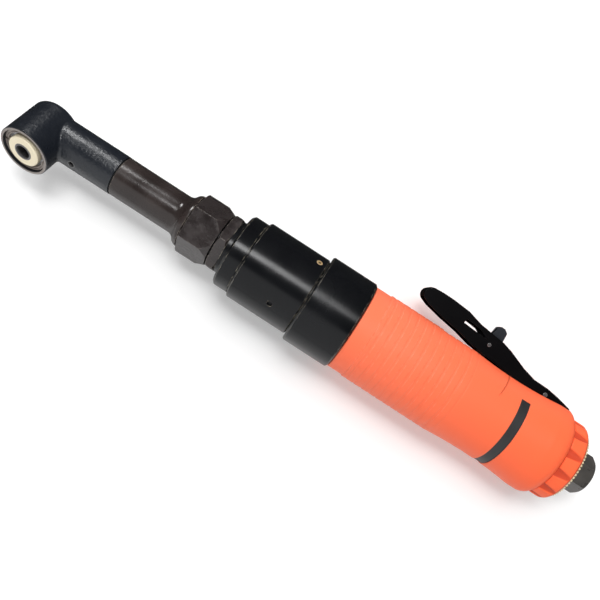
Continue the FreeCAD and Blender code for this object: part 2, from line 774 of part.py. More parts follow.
planet_circle = "(gear_module * (sun_teeth + planet_teeth) / 2)"
PLANETS = 3
for planet in range(PLANETS):
    angle = 360 / PLANETS * planet
    spot = bound(f"placement(vector(-{inlet_mouth}; {planet_circle} * cos({angle}); "
                 f"{planet_circle} * sin({angle})); rotation(vector(1; 0; 0); {angle}))")
    label = f"planet_gear_{planet + 1}"
    node(label, spur_gear(label, planet_count, gears_start, "gear_width",
                          "planet_pin_radius + running_clearance", spot))


def bevel_gear(label, teeth, mate_teeth, hub_radius, bore, tail, phase, place):
    """Bevel gear along X with its cone's tip at the local origin."""
    cone = math.atan2(teeth, mate_teeth)
    distance = value("bevel_cone_distance")
    large = distance * math.cos(cone)
    small = (distance - value("bevel_face_width")) * math.cos(cone)
    virtual_radius = distance * math.tan(cone)
    virtual_teeth = teeth / math.cos(cone)
    flank = []
    for rise in (-value("bevel_dedendum"), 0.0, value("bevel_addendum")):
        opening = cone + math.atan2(rise, distance)
        reach = large * math.tan(opening)
        arc = half_tooth_angle(virtual_radius + rise, virtual_radius, virtual_teeth)
        width = arc * (virtual_radius + rise)
        flank.append((reach, width / (distance * math.sin(cone) + rise * math.cos(cone))))
    inner_flank = [(radius * small / large, angle) for radius, angle in flank]
    teeth_solid = Part.makeLoft([toothed_outline(small, teeth, inner_flank, phase),
                                 toothed_outline(large, teeth, flank, phase)], True, True)
    along = FreeCAD.Vector(1, 0, 0)
    hub = Part.makeCylinder(hub_radius, value("bevel_hub_length"),
                            FreeCAD.Vector(large, 0, 0), along)
    solid = teeth_solid.fuse(hub)
    if tail:
        solid = solid.fuse(Part.makeCylinder(value("pinion_shaft_radius"), tail - large,
                                             FreeCAD.Vector(large, 0, 0), along))
    if bore:
        solid = solid.cut(Part.makeCylinder(bore, tail or distance, FreeCAD.Vector(0, 0, 0),
                                            along))
    gear = doc.addObject("Part::Feature", label)
    gear.Shape = solid.removeSplitter()
    gear.setExpression("Placement", place)
    return gear


# The pinion has a tooth, and the spindle gear a space, where the two cones touch at the back.
lean = value("spindle_lean")
pinion_count = int(value("bevel_pinion_teeth"))
gear_count = int(value("bevel_gear_teeth"))
pinion_blank = bevel_gear("pinion_blank", pinion_count, gear_count,
                          value("bevel_pinion_hub_radius"), 0, value("pinion_shaft_end"), 0.0,
                          along_tool("(spindle_lean + 90)"))
pinion_socket = hexagon("shaft_flats + seat_clearance", "shaft_socket_depth + 1",
                        bar_place("(pinion_shaft_end - shaft_socket_depth)"))
node("bevel_pinion", cut("bevel_pinion", pinion_blank, pinion_socket))
space_angle = math.radians(lean - 90) + math.pi / gear_count
node("spindle_bevel_gear", bevel_gear(
    "spindle_bevel_gear", gear_count, pinion_count, value("bevel_gear_hub_radius"),
    value("gear_seat_radius"), 0, space_angle,
    bound(f"placement(vector(-{inlet_mouth}; 0; 0); "
          "rotation(vector(0; -cos(spindle_lean); -sin(spindle_lean)); 90))")))

# ---------------------------------------------------------------- pinion bearings in the neck
first_end = "(pinion_bearing_start + pinion_bearing_width)"
spacer_end = f"({first_end} + pinion_spacer_length)"
second_end = f"({spacer_end} + pinion_bearing_width)"
nut_end = f"({second_end} + bearing_nut_length)"
shaft_fit = "pinion_shaft_radius + running_clearance"
node("front_pinion_bearing", ball_bearing("front_pinion_bearing", "pinion_bearing_start",
                                          "pinion_bearing_width", "neck_bore_radius", shaft_fit))
node("pinion_spacer", turned("pinion_spacer", [
    (first_end, "neck_bore_radius - pinion_spacer_wall"), (first_end, "neck_bore_radius"),
    (spacer_end, "neck_bore_radius"), (spacer_end, "neck_bore_radius - pinion_spacer_wall")]))
node("rear_pinion_bearing", ball_bearing("rear_pinion_bearing", spacer_end,
                                         "pinion_bearing_width", "neck_bore_radius", shaft_fit))
node("pinion_bearing_nut", turned("pinion_bearing_nut", [
    (second_end, "neck_bore_radius - pinion_spacer_wall"), (second_end, "neck_bore_radius"),
    (nut_end, "neck_bore_radius"), (nut_end, "neck_bore_radius - pinion_spacer_wall")]))

# ---------------------------------------------------------------- extension tube
node("seam_ring", turned("seam_ring", [
    ("neck_end", "neck_thread_radius"), ("neck_end", "tube_radius - seam_ring_recess"),
    (tube_start, "tube_radius - seam_ring_recess"), (tube_start, "neck_thread_radius")]))
bell_middle = f"({bell_start} + bell_length * 0.55)"
tube_end = f"({bell_end} + tube_thread_length)"
tube_blank = turned("tube_blank", [
    (tube_start, "neck_thread_radius"), (tube_start, "tube_radius"),
    (bell_start, "tube_radius"), bell_start,
    (bell_middle, "tube_radius + (bell_radius - tube_radius) * 0.55"), bell_end,
    (bell_end, "bell_radius"), (bell_end, "tube_thread_radius"),
    (tube_end, "tube_thread_radius"), (tube_end, "shaft_bearing_radius"),
    (f"{tube_end} - shaft_bearing_width", "shaft_bearing_radius"),
    (f"{tube_end} - shaft_bearing_width", "tube_bore_radius"),
    ("neck_end + neck_thread_length", "tube_bore_radius"),
    ("neck_end + neck_thread_length", "neck_thread_radius")])
spanner_hole = bar("spanner_hole_radius", "spanner_hole_depth + 1", radial_place(
    "spanner_hole_station", "(tube_radius - spanner_hole_depth)", "13"))
node("extension_tube", cut("extension_tube", tube_blank, spanner_hole))
node("shaft_bearing", ball_bearing("shaft_bearing", f"({tube_end} - shaft_bearing_width)",
                                   "shaft_bearing_width", "shaft_bearing_radius",
                                   "shaft_sleeve_radius + running_clearance"))

# ---------------------------------------------------------------- coupling nut and lock nut
coupling_corner = "(coupling_flats / 2 / cos(30))"
coupling_blank = turned("coupling_blank", [
    (coupling_start, "tube_thread_radius"),
    (coupling_start, f"{coupling_corner} - coupling_chamfer"),
    (f"{coupling_start} + coupling_chamfer / 2", coupling_corner),
    (f"{coupling_hex_end} - coupling_chamfer", coupling_corner),
    (coupling_hex_end, f"{coupling_corner} - coupling_chamfer / 2"),
    (coupling_end, "coupling_tail_radius - coupling_chamfer / 2"),
    (coupling_end, "case_nose_radius"), (tube_end, "case_nose_radius"),
    (tube_end, "tube_thread_radius")])
coupling_prism = hexagon("coupling_flats", "coupling_hex_length + coupling_taper_length",
                         hexagon_place(coupling_start, "coupling_turn_angle"))
node("coupling_nut", common("coupling_nut", coupling_blank, coupling_prism))
lock_blank = turned("lock_blank", [
    (lock_start, "case_nose_radius"),
    (lock_start, f"{coupling_corner} - lock_nut_chamfer * 1.6"),
    (f"{lock_start} + lock_nut_chamfer", coupling_corner),
    (f"{lock_end} - lock_nut_chamfer", coupling_corner),
    (lock_end, f"{coupling_corner} - lock_nut_chamfer * 1.6"), (lock_end, "case_nose_radius")])
lock_prism = hexagon("coupling_flats", "lock_nut_length",
                     hexagon_place(lock_start, "lock_nut_turn_angle"))
node("lock_nut", common("lock_nut", lock_blank, lock_prism))

# ---------------------------------------------------------------- gear case
nose_start = f"({tube_end} + side_clearance)"
bearing_start = f"({case_start} - carrier_bearing_width)"
node("case_front_cap", turned("case_front_cap", [
    (nose_start, "tube_bore_radius"), (nose_start, "case_nose_radius"),
    (lock_end, "case_nose_radius"), (lock_end, "case_neck_radius"),
    (cap_start, "case_neck_radius"), (cap_start, "cap_radius - cap_chamfer"),
    (f"{cap_start} + cap_chamfer", "cap_radius"), (cap_end, "cap_radius"),
    (cap_end, "case_step_radius"), (case_start, "case_step_radius"),
    (case_start, "carrier_bearing_radius"), (bearing_start, "carrier_bearing_radius"),
    (bearing_start, "tube_bore_radius")]))
case_blank = turned("case_blank", [
    (cap_end, "case_step_radius"), (cap_end, "case_seam_radius"),
    (case_start, "case_seam_radius"), (case_start, "case_radius - case_edge_chamfer"),
    (f"{case_start} + case_edge_chamfer", "case_radius"),
    (f"{case_end} - case_edge_chamfer", "case_radius"),
    (case_end, "case_radius - case_edge_chamfer"), (case_end, "case_spigot_radius"),
    (spigot_end, "case_spigot_radius"), (spigot_end, "case_bore_radius"),
    (ring_start, "case_bore_radius"), (ring_start, "case_step_radius")])
grease_plug_station = f"({case_end} - grease_plug_setback)"
case_pin_station = f"({case_end} - case_pin_setback)"
plug_hole = bar("grease_plug_radius", "case_radius", radial_place(
    grease_plug_station, "case_bore_radius", "grease_plug_angle"))
pin_hole = bar("case_pin_radius", "case_radius", radial_place(
    case_pin_station, "case_bore_radius", "case_pin_angle"))
node("gear_case", cut("gear_case", case_blank, plug_hole, pin_hole))
node("grease_plug", bar("grease_plug_radius",
                        "case_wall - grease_plug_recess", radial_place(
                            grease_plug_station, "case_bore_radius", "grease_plug_angle")))
pin_blank = bar("case_pin_radius", "case_wall", radial_place(
    case_pin_station, "case_bore_radius", "case_pin_angle"))
pin_centre = bar("case_pin_hole_radius", "case_wall", radial_place(
    case_pin_station, "case_bore_radius + case_wall / 2", "case_pin_angle"))
node("case_pin", cut("case_pin", pin_blank, pin_centre))
node("carrier_bearing", ball_bearing("carrier_bearing", bearing_start, "carrier_bearing_width",
                                     "carrier_bearing_radius",
                                     "carrier_hub_radius + running_clearance"))
node("ring_gear_spacer", turned("ring_gear_spacer", [
    (ring_end, "motor_radius - lever_wall"), (ring_end, "case_bore_radius"),
    (front_plate_start, "case_bore_radius"),
    (front_plate_start, "motor_radius - lever_wall")]))

# ---------------------------------------------------------------- carrier, pins and drive shaft
disc_end = f"({gears_start} - side_clearance)"
disc_start = f"({disc_end} - carrier_disc_length)"
hub_start = f"({bearing_start} - 1)"
carrier_blank = turned("carrier_blank", [
    (hub_start, "0"), (hub_start, "carrier_hub_radius"),
    (f"{case_start} + side_clearance", "carrier_hub_radius"),
    (f"{case_start} + side_clearance", "carrier_hub_radius + race_width"),
    (disc_start, "carrier_hub_radius + race_width"), (disc_start, "carrier_disc_radius"),
    (disc_end, "carrier_disc_radius"), (disc_end, "0")])
carrier_socket = hexagon("shaft_flats + seat_clearance", "shaft_socket_depth + 1",
                         bar_place(f"({hub_start} - 1)"))
carrier_holes = []
pins = []
for planet in range(PLANETS):
    angle = 360 / PLANETS * planet
    sideways = f"{planet_circle} * cos({angle})"
    upwards = f"{planet_circle} * sin({angle})"
    carrier_holes.append(bar("planet_pin_radius", "carrier_disc_length",
                             bar_place(disc_start, sideways, upwards)))
    pins.append(bar("planet_pin_radius",
                    "carrier_disc_length + side_clearance + gear_width + side_clearance",
                    bar_place(disc_start, sideways, upwards)))
node("planet_carrier", cut("planet_carrier", carrier_blank, carrier_socket, *carrier_holes))
planet_pins = doc.addObject("Part::Compound", "planet_pins")
planet_pins.Links = pins
node("planet_pins", planet_pins)

shaft_start = "(pinion_shaft_end - shaft_socket_depth)"
shaft_end = f"({hub_start} + shaft_socket_depth)"
node("drive_shaft", fuse(
    "drive_shaft", hexagon("shaft_flats", f"{shaft_end} - {shaft_start}", bar_place(shaft_start)),
    bar("shaft_sleeve_radius", "shaft_bearing_width * 1.6",
        bar_place(f"({tube_end} - shaft_bearing_width * 1.3)"))))

# ---------------------------------------------------------------- air motor
plate_fit = "case_bore_radius - seat_clearance"
front_bore = bar("rotor_bearing_radius", "rotor_bearing_width", bar_place(front_plate_start))
plate_dowel = bar("dowel_radius", "plate_length", bar_place(front_plate_start, "dowel_offset"))
front_plate = turned("front_plate_blank", [
    (front_plate_start, "rotor_shaft_radius + side_clearance"),
    (front_plate_start, plate_fit), (cylinder_start, plate_fit),
    (cylinder_start, "rotor_shaft_radius + side_clearance")])
node("front_end_plate", cut("front_end_plate", front_plate, front_bore, plate_dowel))
node("front_rotor_bearing", ball_bearing(
    "front_rotor_bearing", front_plate_start, "rotor_bearing_width", "rotor_bearing_radius",
    "rotor_shaft_radius + running_clearance"))
cylinder_blank = bar("motor_radius", "cylinder_length", bar_place(cylinder_start))
cylinder_bore = bar("cylinder_bore_radius", "cylinder_length",
                    bar_place(cylinder_start, "-cylinder_offset"))
cylinder_dowel_hole = bar("dowel_radius", "cylinder_length",
                          bar_place(cylinder_start, "dowel_offset"))

# Spent air leaves the cylinder by a row of ports into two channels down its outside, and runs
# back through the end plate and the gasket; live air comes forward through the feed port.
channel_sides = ("exhaust_channel_angle", "(0 - exhaust_channel_angle)")


def air_passages(start, length, feed):
    """The exhaust channels over a length of the tool, with the feed port when asked for."""
    passages = [bar("exhaust_channel_radius", length, bar_place(
        start, f"motor_radius * cos({side})", f"motor_radius * sin({side})"))
        for side in channel_sides]
    if feed:
        passages.append(bar("port_radius", length, bar_place(start, "feed_port_height")))
    return passages


exhaust_ports = []
port_total = int(value("exhaust_port_count"))
for side in channel_sides:
    for port in range(port_total):
        station = (f"({cylinder_start} + cylinder_length / 2 "
                   f"+ exhaust_port_pitch * {port - (port_total - 1) / 2})")
        exhaust_ports.append(bar("exhaust_port_radius", "motor_radius / 2", radial_place(
            station, "motor_radius / 2", side)))
channel_start = f"({cylinder_start} + plate_length)"
node("motor_cylinder", cut(
    "motor_cylinder", cylinder_blank, cylinder_bore, cylinder_dowel_hole, *exhaust_ports,
    *air_passages(channel_start, f"{cylinder_end} - {channel_start}", False)))
node("motor_dowel", bar("dowel_radius", "cylinder_length + plate_length * 2",
                        bar_place(front_plate_start, "dowel_offset")))
rear_bearing_start = f"({rear_plate_end} - rotor_bearing_width)"
rear_bore = bar("rotor_bearing_radius", "rotor_bearing_width", bar_place(rear_bearing_start))
rear_dowel = bar("dowel_radius", "plate_length", bar_place(cylinder_end, "dowel_offset"))
rear_plate = turned("rear_plate_blank", [
    (cylinder_end, "rotor_shaft_radius + side_clearance"), (cylinder_end, "motor_radius"),
    (rear_plate_end, "motor_radius"),
    (rear_plate_end, "rotor_shaft_radius + side_clearance")])
node("rear_end_plate", cut("rear_end_plate", rear_plate, rear_bore, rear_dowel,
                           *air_passages(cylinder_end, "plate_length", True)))
node("rear_rotor_bearing", ball_bearing(
    "rear_rotor_bearing", rear_bearing_start, "rotor_bearing_width", "rotor_bearing_radius",
    "rotor_shaft_radius + running_clearance"))
gasket_blank = turned("gasket_blank", [
    (rear_plate_end, "rotor_bearing_radius"), (rear_plate_end, "motor_radius"),
    (body_start, "motor_radius"), (body_start, "rotor_bearing_radius")])
node("motor_gasket", cut("motor_gasket", gasket_blank,
                         *air_passages(rear_plate_end, "gasket_length", True)))

rotor_start = f"({cylinder_start} + rotor_end_gap)"
rotor_end = f"({cylinder_end} - rotor_end_gap)"
rotor_blank = turned("rotor_blank", [
    (gears_start, "0"), (gears_start, "sun_shaft_radius"), (gears_end, "sun_shaft_radius"),
    (gears_end, "rotor_shaft_radius"), (rotor_start, "rotor_shaft_radius"),
    (rotor_start, "rotor_radius"), (rotor_end, "rotor_radius"),
    (rotor_end, "rotor_shaft_radius"), (rear_plate_end, "rotor_shaft_radius"),
    (rear_plate_end, "0")])
slots = []
vanes = []
rotor_long = f"({rotor_end} - {rotor_start})"
vane_total = int(value("vane_count"))
for vane in range(vane_total):
    turn = 360 / vane_total * vane
    for pieces, thickness, reach in (
            (slots, "vane_thickness", "1"),
            (vanes, "vane_thickness - seat_clearance * 2", "-seat_clearance")):
        spot = bound(f"placement(vector({rotor_start} - {inlet_mouth}; 0; 0); "
                     f"rotation(vector(1; 0; 0); {turn})) * "
                     f"placement(vector(0; rotor_radius - vane_depth; -({thickness}) / 2); "
                     "rotation(vector(1; 0; 0); 0))")
        pieces.append(block(rotor_long, f"vane_depth + {reach}", thickness, spot))
node("rotor", cut("rotor", rotor_blank, *slots))
rotor_vanes = doc.addObject("Part::Compound", "rotor_vanes")
rotor_vanes.Links = vanes
node("rotor_vanes", rotor_vanes)

# ---------------------------------------------------------------- motor housing
housing_end = body_start
node("motor_housing", turned("motor_housing", [
    (collar_start, "case_spigot_radius"), (collar_start, "collar_radius - collar_chamfer"),
    (f"{collar_start} + collar_chamfer", "collar_radius"),
    (f"{collar_end} - collar_chamfer", "collar_radius"),
    (collar_end, "collar_radius - collar_chamfer"), (collar_end, "housing_radius"),
    (housing_end, "housing_radius"), (housing_end, "motor_radius"),
    (spigot_end, "motor_radius"), (spigot_end, "case_spigot_radius")]))

# ---------------------------------------------------------------- handle
front_end = f"({handle_start} + handle_front_length)"
grip_end = f"({front_end} + grip_length)"
pommel_end = "(pommel_start + pommel_length)"
lip_start = f"({handle_end} - handle_lip_length)"
handle_blank = turned("handle_blank", [
    (handle_start, "handle_bore_radius"),
    (handle_start, "handle_front_radius - edge_chamfer"),
    (f"{handle_start} + edge_chamfer", "handle_front_radius"),
    (f"{front_end} - edge_chamfer", "handle_front_radius"), (front_end, "grip_radius"),
    (grip_end, "grip_radius"), "waist_station",
    ("waist_station", "waist_radius"), "waist_station",
    ("pommel_start", "pommel_radius"), (pommel_end, "pommel_radius"), pommel_end,
    (handle_end, "handle_end_radius"), (handle_end, "handle_lip_radius"),
    (lip_start, "handle_lip_radius"), (lip_start, "handle_bore_radius")])
rib_groove = outline_sketch(handle_blank, "rib_groove", [
    ("rib_start", "grip_radius + 1"), ("rib_start", "grip_radius - rib_depth / 2"),
    ("rib_start + rib_width / 2", "grip_radius - rib_depth"),
    ("rib_start + rib_width", "grip_radius - rib_depth / 2"),
    ("rib_start + rib_width", "grip_radius + 1")])
groove = handle_blank.newObject("PartDesign::Groove", "grip_groove")
groove.Profile = rib_groove
groove.ReferenceAxis = (rib_groove, ["H_Axis"])
groove.Angle = 360
doc.recompute()
ribs = handle_blank.newObject("PartDesign::LinearPattern", "grip_ribs")
ribs.Originals = [groove]
ribs.Direction = origin_axis(handle_blank, "X_Axis")
ribs.setExpression("Length", bound("rib_pitch * (rib_count - 1)"))
ribs.setExpression("Occurrences", bound("rib_count"))
handle_blank.Tip = ribs

lever_slot = block("lever_slot_end - lever_slot_start", "grip_radius",
                   "lever_slot_half_width * 2", upright_place(
                       "lever_slot_start", "handle_bore_radius - lever_wall * 2",
                       "-lever_slot_half_width"))


def band_ring(label, floor, top):
    """A strip of ring round the handle, from its first angle round to the underside."""
    body = doc.addObject("PartDesign::Body", label)
    sketch = outline_sketch(body, label + "_outline", [
        ("band_start", floor), ("band_start", top), ("band_start + band_width", top),
        ("band_start + band_width", floor)])
    sweep = body.newObject("PartDesign::Revolution", label + "_sweep")
    sweep.Profile = sketch
    sweep.ReferenceAxis = (sketch, ["H_Axis"])
    sweep.setExpression("Angle", bound("band_sweep_angle"))
    body.setExpression("Placement", along_tool("band_first_angle"))
    return body


band_recess = band_ring("band_recess", "band_floor_radius", "band_radius + 1")
node("handle_shell", cut("handle_shell", handle_blank, lever_slot, band_recess))
node("label_band", band_ring("label_band", "band_floor_radius", "band_radius"))

# ---------------------------------------------------------------- valve body
chamber_top = "seat_height + seat_length"
valve_blank = turned("valve_blank", [
    (body_start, "0"), (body_start, "valve_body_radius"),
    (lip_start, "valve_body_radius"), (lip_start, "handle_lip_radius"),
    ("valve_body_end", "handle_lip_radius"), ("valve_body_end", "valve_hub_radius"),
    (hex_start, "valve_hub_radius"), (hex_start, "0")])
lug_block = block("lug_radius * 2", "lever_pivot_height - valve_body_radius / 2",
                  "lug_half_width * 2", upright_place(
                      "lever_pivot_station - lug_radius", "valve_body_radius / 2",
                      "-lug_half_width"))
lug_round = bar("lug_radius", "lug_half_width * 2", upright_place(
    "lever_pivot_station", "lever_pivot_height", "-lug_half_width"))
lug_hole = bar("lever_pin_radius", "lug_half_width * 2", upright_place(
    "lever_pivot_station", "lever_pivot_height", "-lug_half_width"))
chamber = bar("chamber_radius", f"{chamber_top} + valve_body_radius + 1", radial_place(
    "valve_station", "(0 - valve_body_radius - 1)", "0"))
stem_bore = bar("bush_radius", "valve_body_radius + 1", radial_place(
    "valve_station", "0", "0"))
shank_bore = bar("inlet_shank_radius", "inlet_shank_length", bar_place(
    f"({hex_start} - inlet_shank_length)"))
inlet_passage = bar("inlet_passage_radius", f"{hex_start} - valve_station",
                    bar_place("valve_station"))
feed_passage = bar("port_radius", f"valve_station - {body_start}", bar_place(
    body_start, "feed_port_height"))
exhaust_holes = []
exhaust_total = int(value("exhaust_hole_count"))
for hole in range(exhaust_total):
    side = 1 if hole < exhaust_total / 2 else -1
    step = 135 / (exhaust_total / 2)
    angle = side * (45 + step * (hole % (exhaust_total // 2)))
    exhaust_holes.append(bar("exhaust_hole_radius", f"valve_body_end - {body_start}", bar_place(
        body_start, f"exhaust_hole_circle * cos({angle})",
        f"exhaust_hole_circle * sin({angle})")))
node("valve_body", cut("valve_body", fuse("valve_casting", valve_blank, lug_block, lug_round),
                       lug_hole, chamber, stem_bore, shank_bore, inlet_passage, feed_passage,
                       *exhaust_holes))

# ---------------------------------------------------------------- throttle valve
node("pin_bush", turned("pin_bush", [
    ("valve_body_radius - bush_length", "pin_radius + running_clearance"),
    ("valve_body_radius - bush_length", "bush_radius"),
    ("valve_body_radius", "bush_radius"),
    ("valve_body_radius", "pin_radius + running_clearance")],
    along_lever_side("valve_station")))
node("valve_seat", turned("valve_seat", [
    ("seat_height", "pin_radius + race_width"), ("seat_height", "chamber_radius"),
    (chamber_top, "chamber_radius"), (chamber_top, "pin_radius + race_width")],
    along_lever_side("valve_station")))
head_top = "(seat_height - seat_clearance)"
node("throttle_pin", turned("throttle_pin", [
    (f"{head_top} - valve_head_length", "0"), (f"{head_top} - valve_head_length", "pin_radius"),
    (f"{head_top} - valve_head_length * 0.7", "valve_head_radius"),
    (f"{head_top} - edge_chamfer", "valve_head_radius"),
    (head_top, "valve_head_radius - edge_chamfer"), (head_top, "pin_radius"),
    ("pin_top_height - pin_radius / 2", "pin_radius"),
    ("pin_top_height", "pin_radius / 2"), ("pin_top_height", "0")],
    along_lever_side("valve_station")))
plug_bottom = "(chamber_bottom_height + chamber_plug_length)"
node("chamber_plug", turned("chamber_plug", [
    ("chamber_bottom_height", "0"), ("chamber_bottom_height", "chamber_radius"),
    (plug_bottom, "chamber_radius"), (plug_bottom, "0")],
    bound(f"placement(vector(valve_station - {inlet_mouth}; 0; 0); "
          "rotation(vector(0; 0; 1); -90))")))
spring_wire = "valve_spring_wire"
spring_low = "(side_clearance - chamber_bottom_height + valve_spring_wire)"
spring_high = f"({head_top} - valve_head_length - side_clearance - valve_spring_wire)"


def coil(label, radius, wire, start, end, turns, place):
    """A coil spring about its local Z."""
    spring = doc.addObject("Part::Feature", label)
    length = value(end) - value(start)
    path = Part.makeHelix(length / turns, length, value(radius))
    ring = Part.Wire([Part.makeCircle(value(wire), FreeCAD.Vector(value(radius), 0, 0),
                                      FreeCAD.Vector(0, 1, 0))])
    solid = Part.Wire(path.Edges).makePipeShell([ring], True, True)
    spring.Shape = solid
    spring.setExpression("Placement", place)
    return spring


node("valve_spring", coil("valve_spring", "valve_spring_radius", spring_wire, spring_low,
                          spring_high, value("valve_spring_turns"),
                          radial_place("valve_station", spring_low, "0")))


# ---------------------------------------------------------------- throttle lever
def pivot_points(outline_name, pivot, count, lower="0", order=1):
    """Points of a side outline, as formulas for station and height."""
    points = []
    for number in range(1, count + 1)[::order]:
        station = f"({pivot}_pivot_station - {outline_name}_ahead_{number})"
        height = f"({pivot}_pivot_height + {outline_name}_above_{number} - {lower})"
        points.append((station, height))
    return points


def side_plate(label, points, half_width):
    """A plate cut to a side outline, its middle on the tool's own plane."""
    body = doc.addObject("PartDesign::Body", label)
    sketch = outline_sketch(body, label + "_outline", points)
    pad = body.newObject("PartDesign::Pad", label + "_pad")
    pad.Profile = sketch
    pad.SideType = "Symmetric"
    pad.setExpression("Length", bound(f"({half_width}) * 2"))
    body.setExpression("Placement", along_tool())
    return body


top_points = pivot_points("lever_top", "lever", len(LEVER_TOP))
bottom_points = pivot_points("lever_bottom", "lever", len(LEVER_BOTTOM))
lever_blank = side_plate("lever_blank", top_points + bottom_points, "lever_half_width")
doc.recompute()
top_corners = [(value(station), value(height)) for station, height in top_points]


def on_lever_top(point):
    return any(math.isclose(point.x, station, abs_tol=1e-4)
               and math.isclose(point.y, height, abs_tol=1e-4)
               for station, height in top_corners)


to_blank = lever_blank.Placement.inverse()
top_edges = []
for number, edge in enumerate(lever_blank.Shape.Edges, 1):
    ends = [to_blank.multVec(vertex.Point) for vertex in edge.Vertexes]
    level = math.isclose(ends[0].z, ends[1].z, abs_tol=1e-4)
    if level and all(on_lever_top(point) for point in ends):
        top_edges.append(f"Edge{number}")
lever_pad = lever_blank.Tip
lever_round = lever_blank.newObject("PartDesign::Fillet", "lever_round")
lever_round.Base = (lever_pad, top_edges)
lever_round.setExpression("Radius", bound("lever_edge_round"))
ceiling = pivot_points("lever_top", "lever", len(LEVER_TOP), "lever_wall")[1:-1]
first_station = f"({ceiling[0][0]} + lever_wall)"
hollow_points = [(first_station, "valve_body_radius / 2"), (first_station, ceiling[0][1])]
hollow_points += ceiling[1:]
hollow_points += [("lever_slot_end + 1", ceiling[-1][1]),
                  ("lever_slot_end + 1", "valve_body_radius / 2")]
lever_hollow = side_plate("lever_hollow", hollow_points, "lever_half_width - lever_wall")
window = side_plate("lever_window", pivot_points("lever_window", "lever", len(LEVER_WINDOW)),
                    "lever_half_width + 1")
latch_slot = block("latch_slot_end - latch_slot_start", "lever_half_width * 2",
                   "(latch_half_width + side_clearance) * 2", upright_place(
                       "latch_slot_start", "latch_pivot_height",
                       "-latch_half_width - side_clearance"))
lever_pin_hole = bar("lever_pin_radius + running_clearance", "lever_half_width * 2 + 2",
                     upright_place("lever_pivot_station", "lever_pivot_height",
                                   "-lever_half_width - 1"))
latch_pin_hole = bar("latch_pin_radius", "lever_half_width * 2 + 2", upright_place(
    "latch_pivot_station", "latch_pivot_height", "-lever_half_width - 1"))
node("throttle_lever", cut("throttle_lever", lever_blank, lever_hollow, window, latch_slot,
                           lever_pin_hole, latch_pin_hole))
node("lever_pin", bar("lever_pin_radius", "lever_half_width * 2", upright_place(
    "lever_pivot_station", "lever_pivot_height", "-lever_half_width")))

latch_blank = side_plate("latch_blank", pivot_points("latch", "latch", len(LATCH_OUTLINE)),
                         "latch_half_width")
latch_hole = bar("latch_pin_radius + running_clearance", "latch_half_width * 2", upright_place(
    "latch_pivot_station", "latch_pivot_height", "-latch_half_width"))
node("lock_latch", cut("lock_latch", latch_blank, latch_hole))
node("latch_pin", bar("latch_pin_radius", "lever_half_width * 2", upright_place(
    "latch_pivot_station", "latch_pivot_height", "-lever_half_width")))
spring_start = "(latch_half_width + side_clearance)"
spring_end = "(lever_half_width - lever_wall - side_clearance)"
spring_inside = "latch_spring_radius - latch_spring_wire"
spring_outside = "latch_spring_radius + latch_spring_wire"
spring_points = [(spring_start, spring_inside)]
spring_total = int(value("latch_spring_turns"))
for turn in range(spring_total):
    for share, radius in ((0, "latch_spring_radius"), (0.3, spring_outside),
                          (0.7, spring_outside)):
        spring_points.append((
            f"{spring_start} + ({spring_end} - {spring_start}) * {(turn + share) / spring_total}",
            radius))
spring_points += [(spring_end, "latch_spring_radius"), (spring_end, spring_inside)]
node("latch_spring", turned("latch_spring", spring_points, bound(
    f"placement(vector(latch_pivot_station - {inlet_mouth}; latch_pivot_height; 0); "
    "rotation(vector(0; 1; 0); -90))")))

# ---------------------------------------------------------------- exhaust cap
rear_wall = f"({exhaust_end} - exhaust_cap_wall)"
cap_bore = "valve_hub_radius + running_clearance"
cap_blank = turned("cap_blank", [
    (exhaust_start, "exhaust_cap_radius - exhaust_cap_wall"),
    (exhaust_start, "exhaust_cap_radius - edge_chamfer"),
    (f"{exhaust_start} + edge_chamfer", "exhaust_cap_radius"),
    (f"{exhaust_end} - exhaust_cap_round", "exhaust_cap_radius"),
    f"{exhaust_end} - exhaust_cap_round",
    (exhaust_end, "exhaust_cap_rear_radius"), (exhaust_end, cap_bore), (rear_wall, cap_bore),
    (rear_wall, "exhaust_cap_radius - exhaust_cap_wall")])
flutes = []
vents = []
flute_total = int(value("flute_count"))
flute_reach = "(exhaust_cap_radius - flute_depth + flute_front_radius)"
for flute in range(flute_total):
    angle = 360 / flute_total * (flute + 0.5)
    tool = doc.addObject("Part::Cone", "flute")
    tool.setExpression("Radius1", bound("flute_front_radius"))
    tool.setExpression("Radius2", bound("flute_rear_radius"))
    tool.setExpression("Height", bound("exhaust_cap_length"))
    tool.setExpression("Placement", bar_place(
        exhaust_start, f"{flute_reach} * cos({angle})", f"{flute_reach} * sin({angle})"))
    flutes.append(tool)
    vents.append(bar("exhaust_hole_radius", "exhaust_cap_wall", bar_place(
        rear_wall, f"exhaust_hole_circle * cos({angle})",
        f"exhaust_hole_circle * sin({angle})")))
node("exhaust_cap", cut("exhaust_cap", cap_blank, fuse("flutes", *flutes),
                        fuse("vents", *vents)))
screen_blank = turned("screen_blank", [
    (exhaust_end, cap_bore), (exhaust_end, "screen_radius"), (screen_end, "screen_radius"),
    (screen_end, cap_bore)])
screen_holes = []
hole_total = int(value("screen_hole_count"))
for hole in range(hole_total):
    for circle in ("screen_radius - screen_hole_radius * 1.6",
                   "screen_radius - screen_hole_radius * 4.4"):
        angle = 360 / hole_total * hole
        screen_holes.append(bar("screen_hole_radius", "screen_thickness", bar_place(
            exhaust_end, f"({circle}) * cos({angle})", f"({circle}) * sin({angle})")))
node("exhaust_screen", cut("exhaust_screen", screen_blank, fuse("screen_holes", *screen_holes)))
node("muffler_felt", turned("muffler_felt", [
    (f"{exhaust_start} + side_clearance", cap_bore),
    (f"{exhaust_start} + side_clearance", "exhaust_cap_radius - exhaust_cap_wall"),
    (rear_wall, "exhaust_cap_radius - exhaust_cap_wall"), (rear_wall, cap_bore)]))

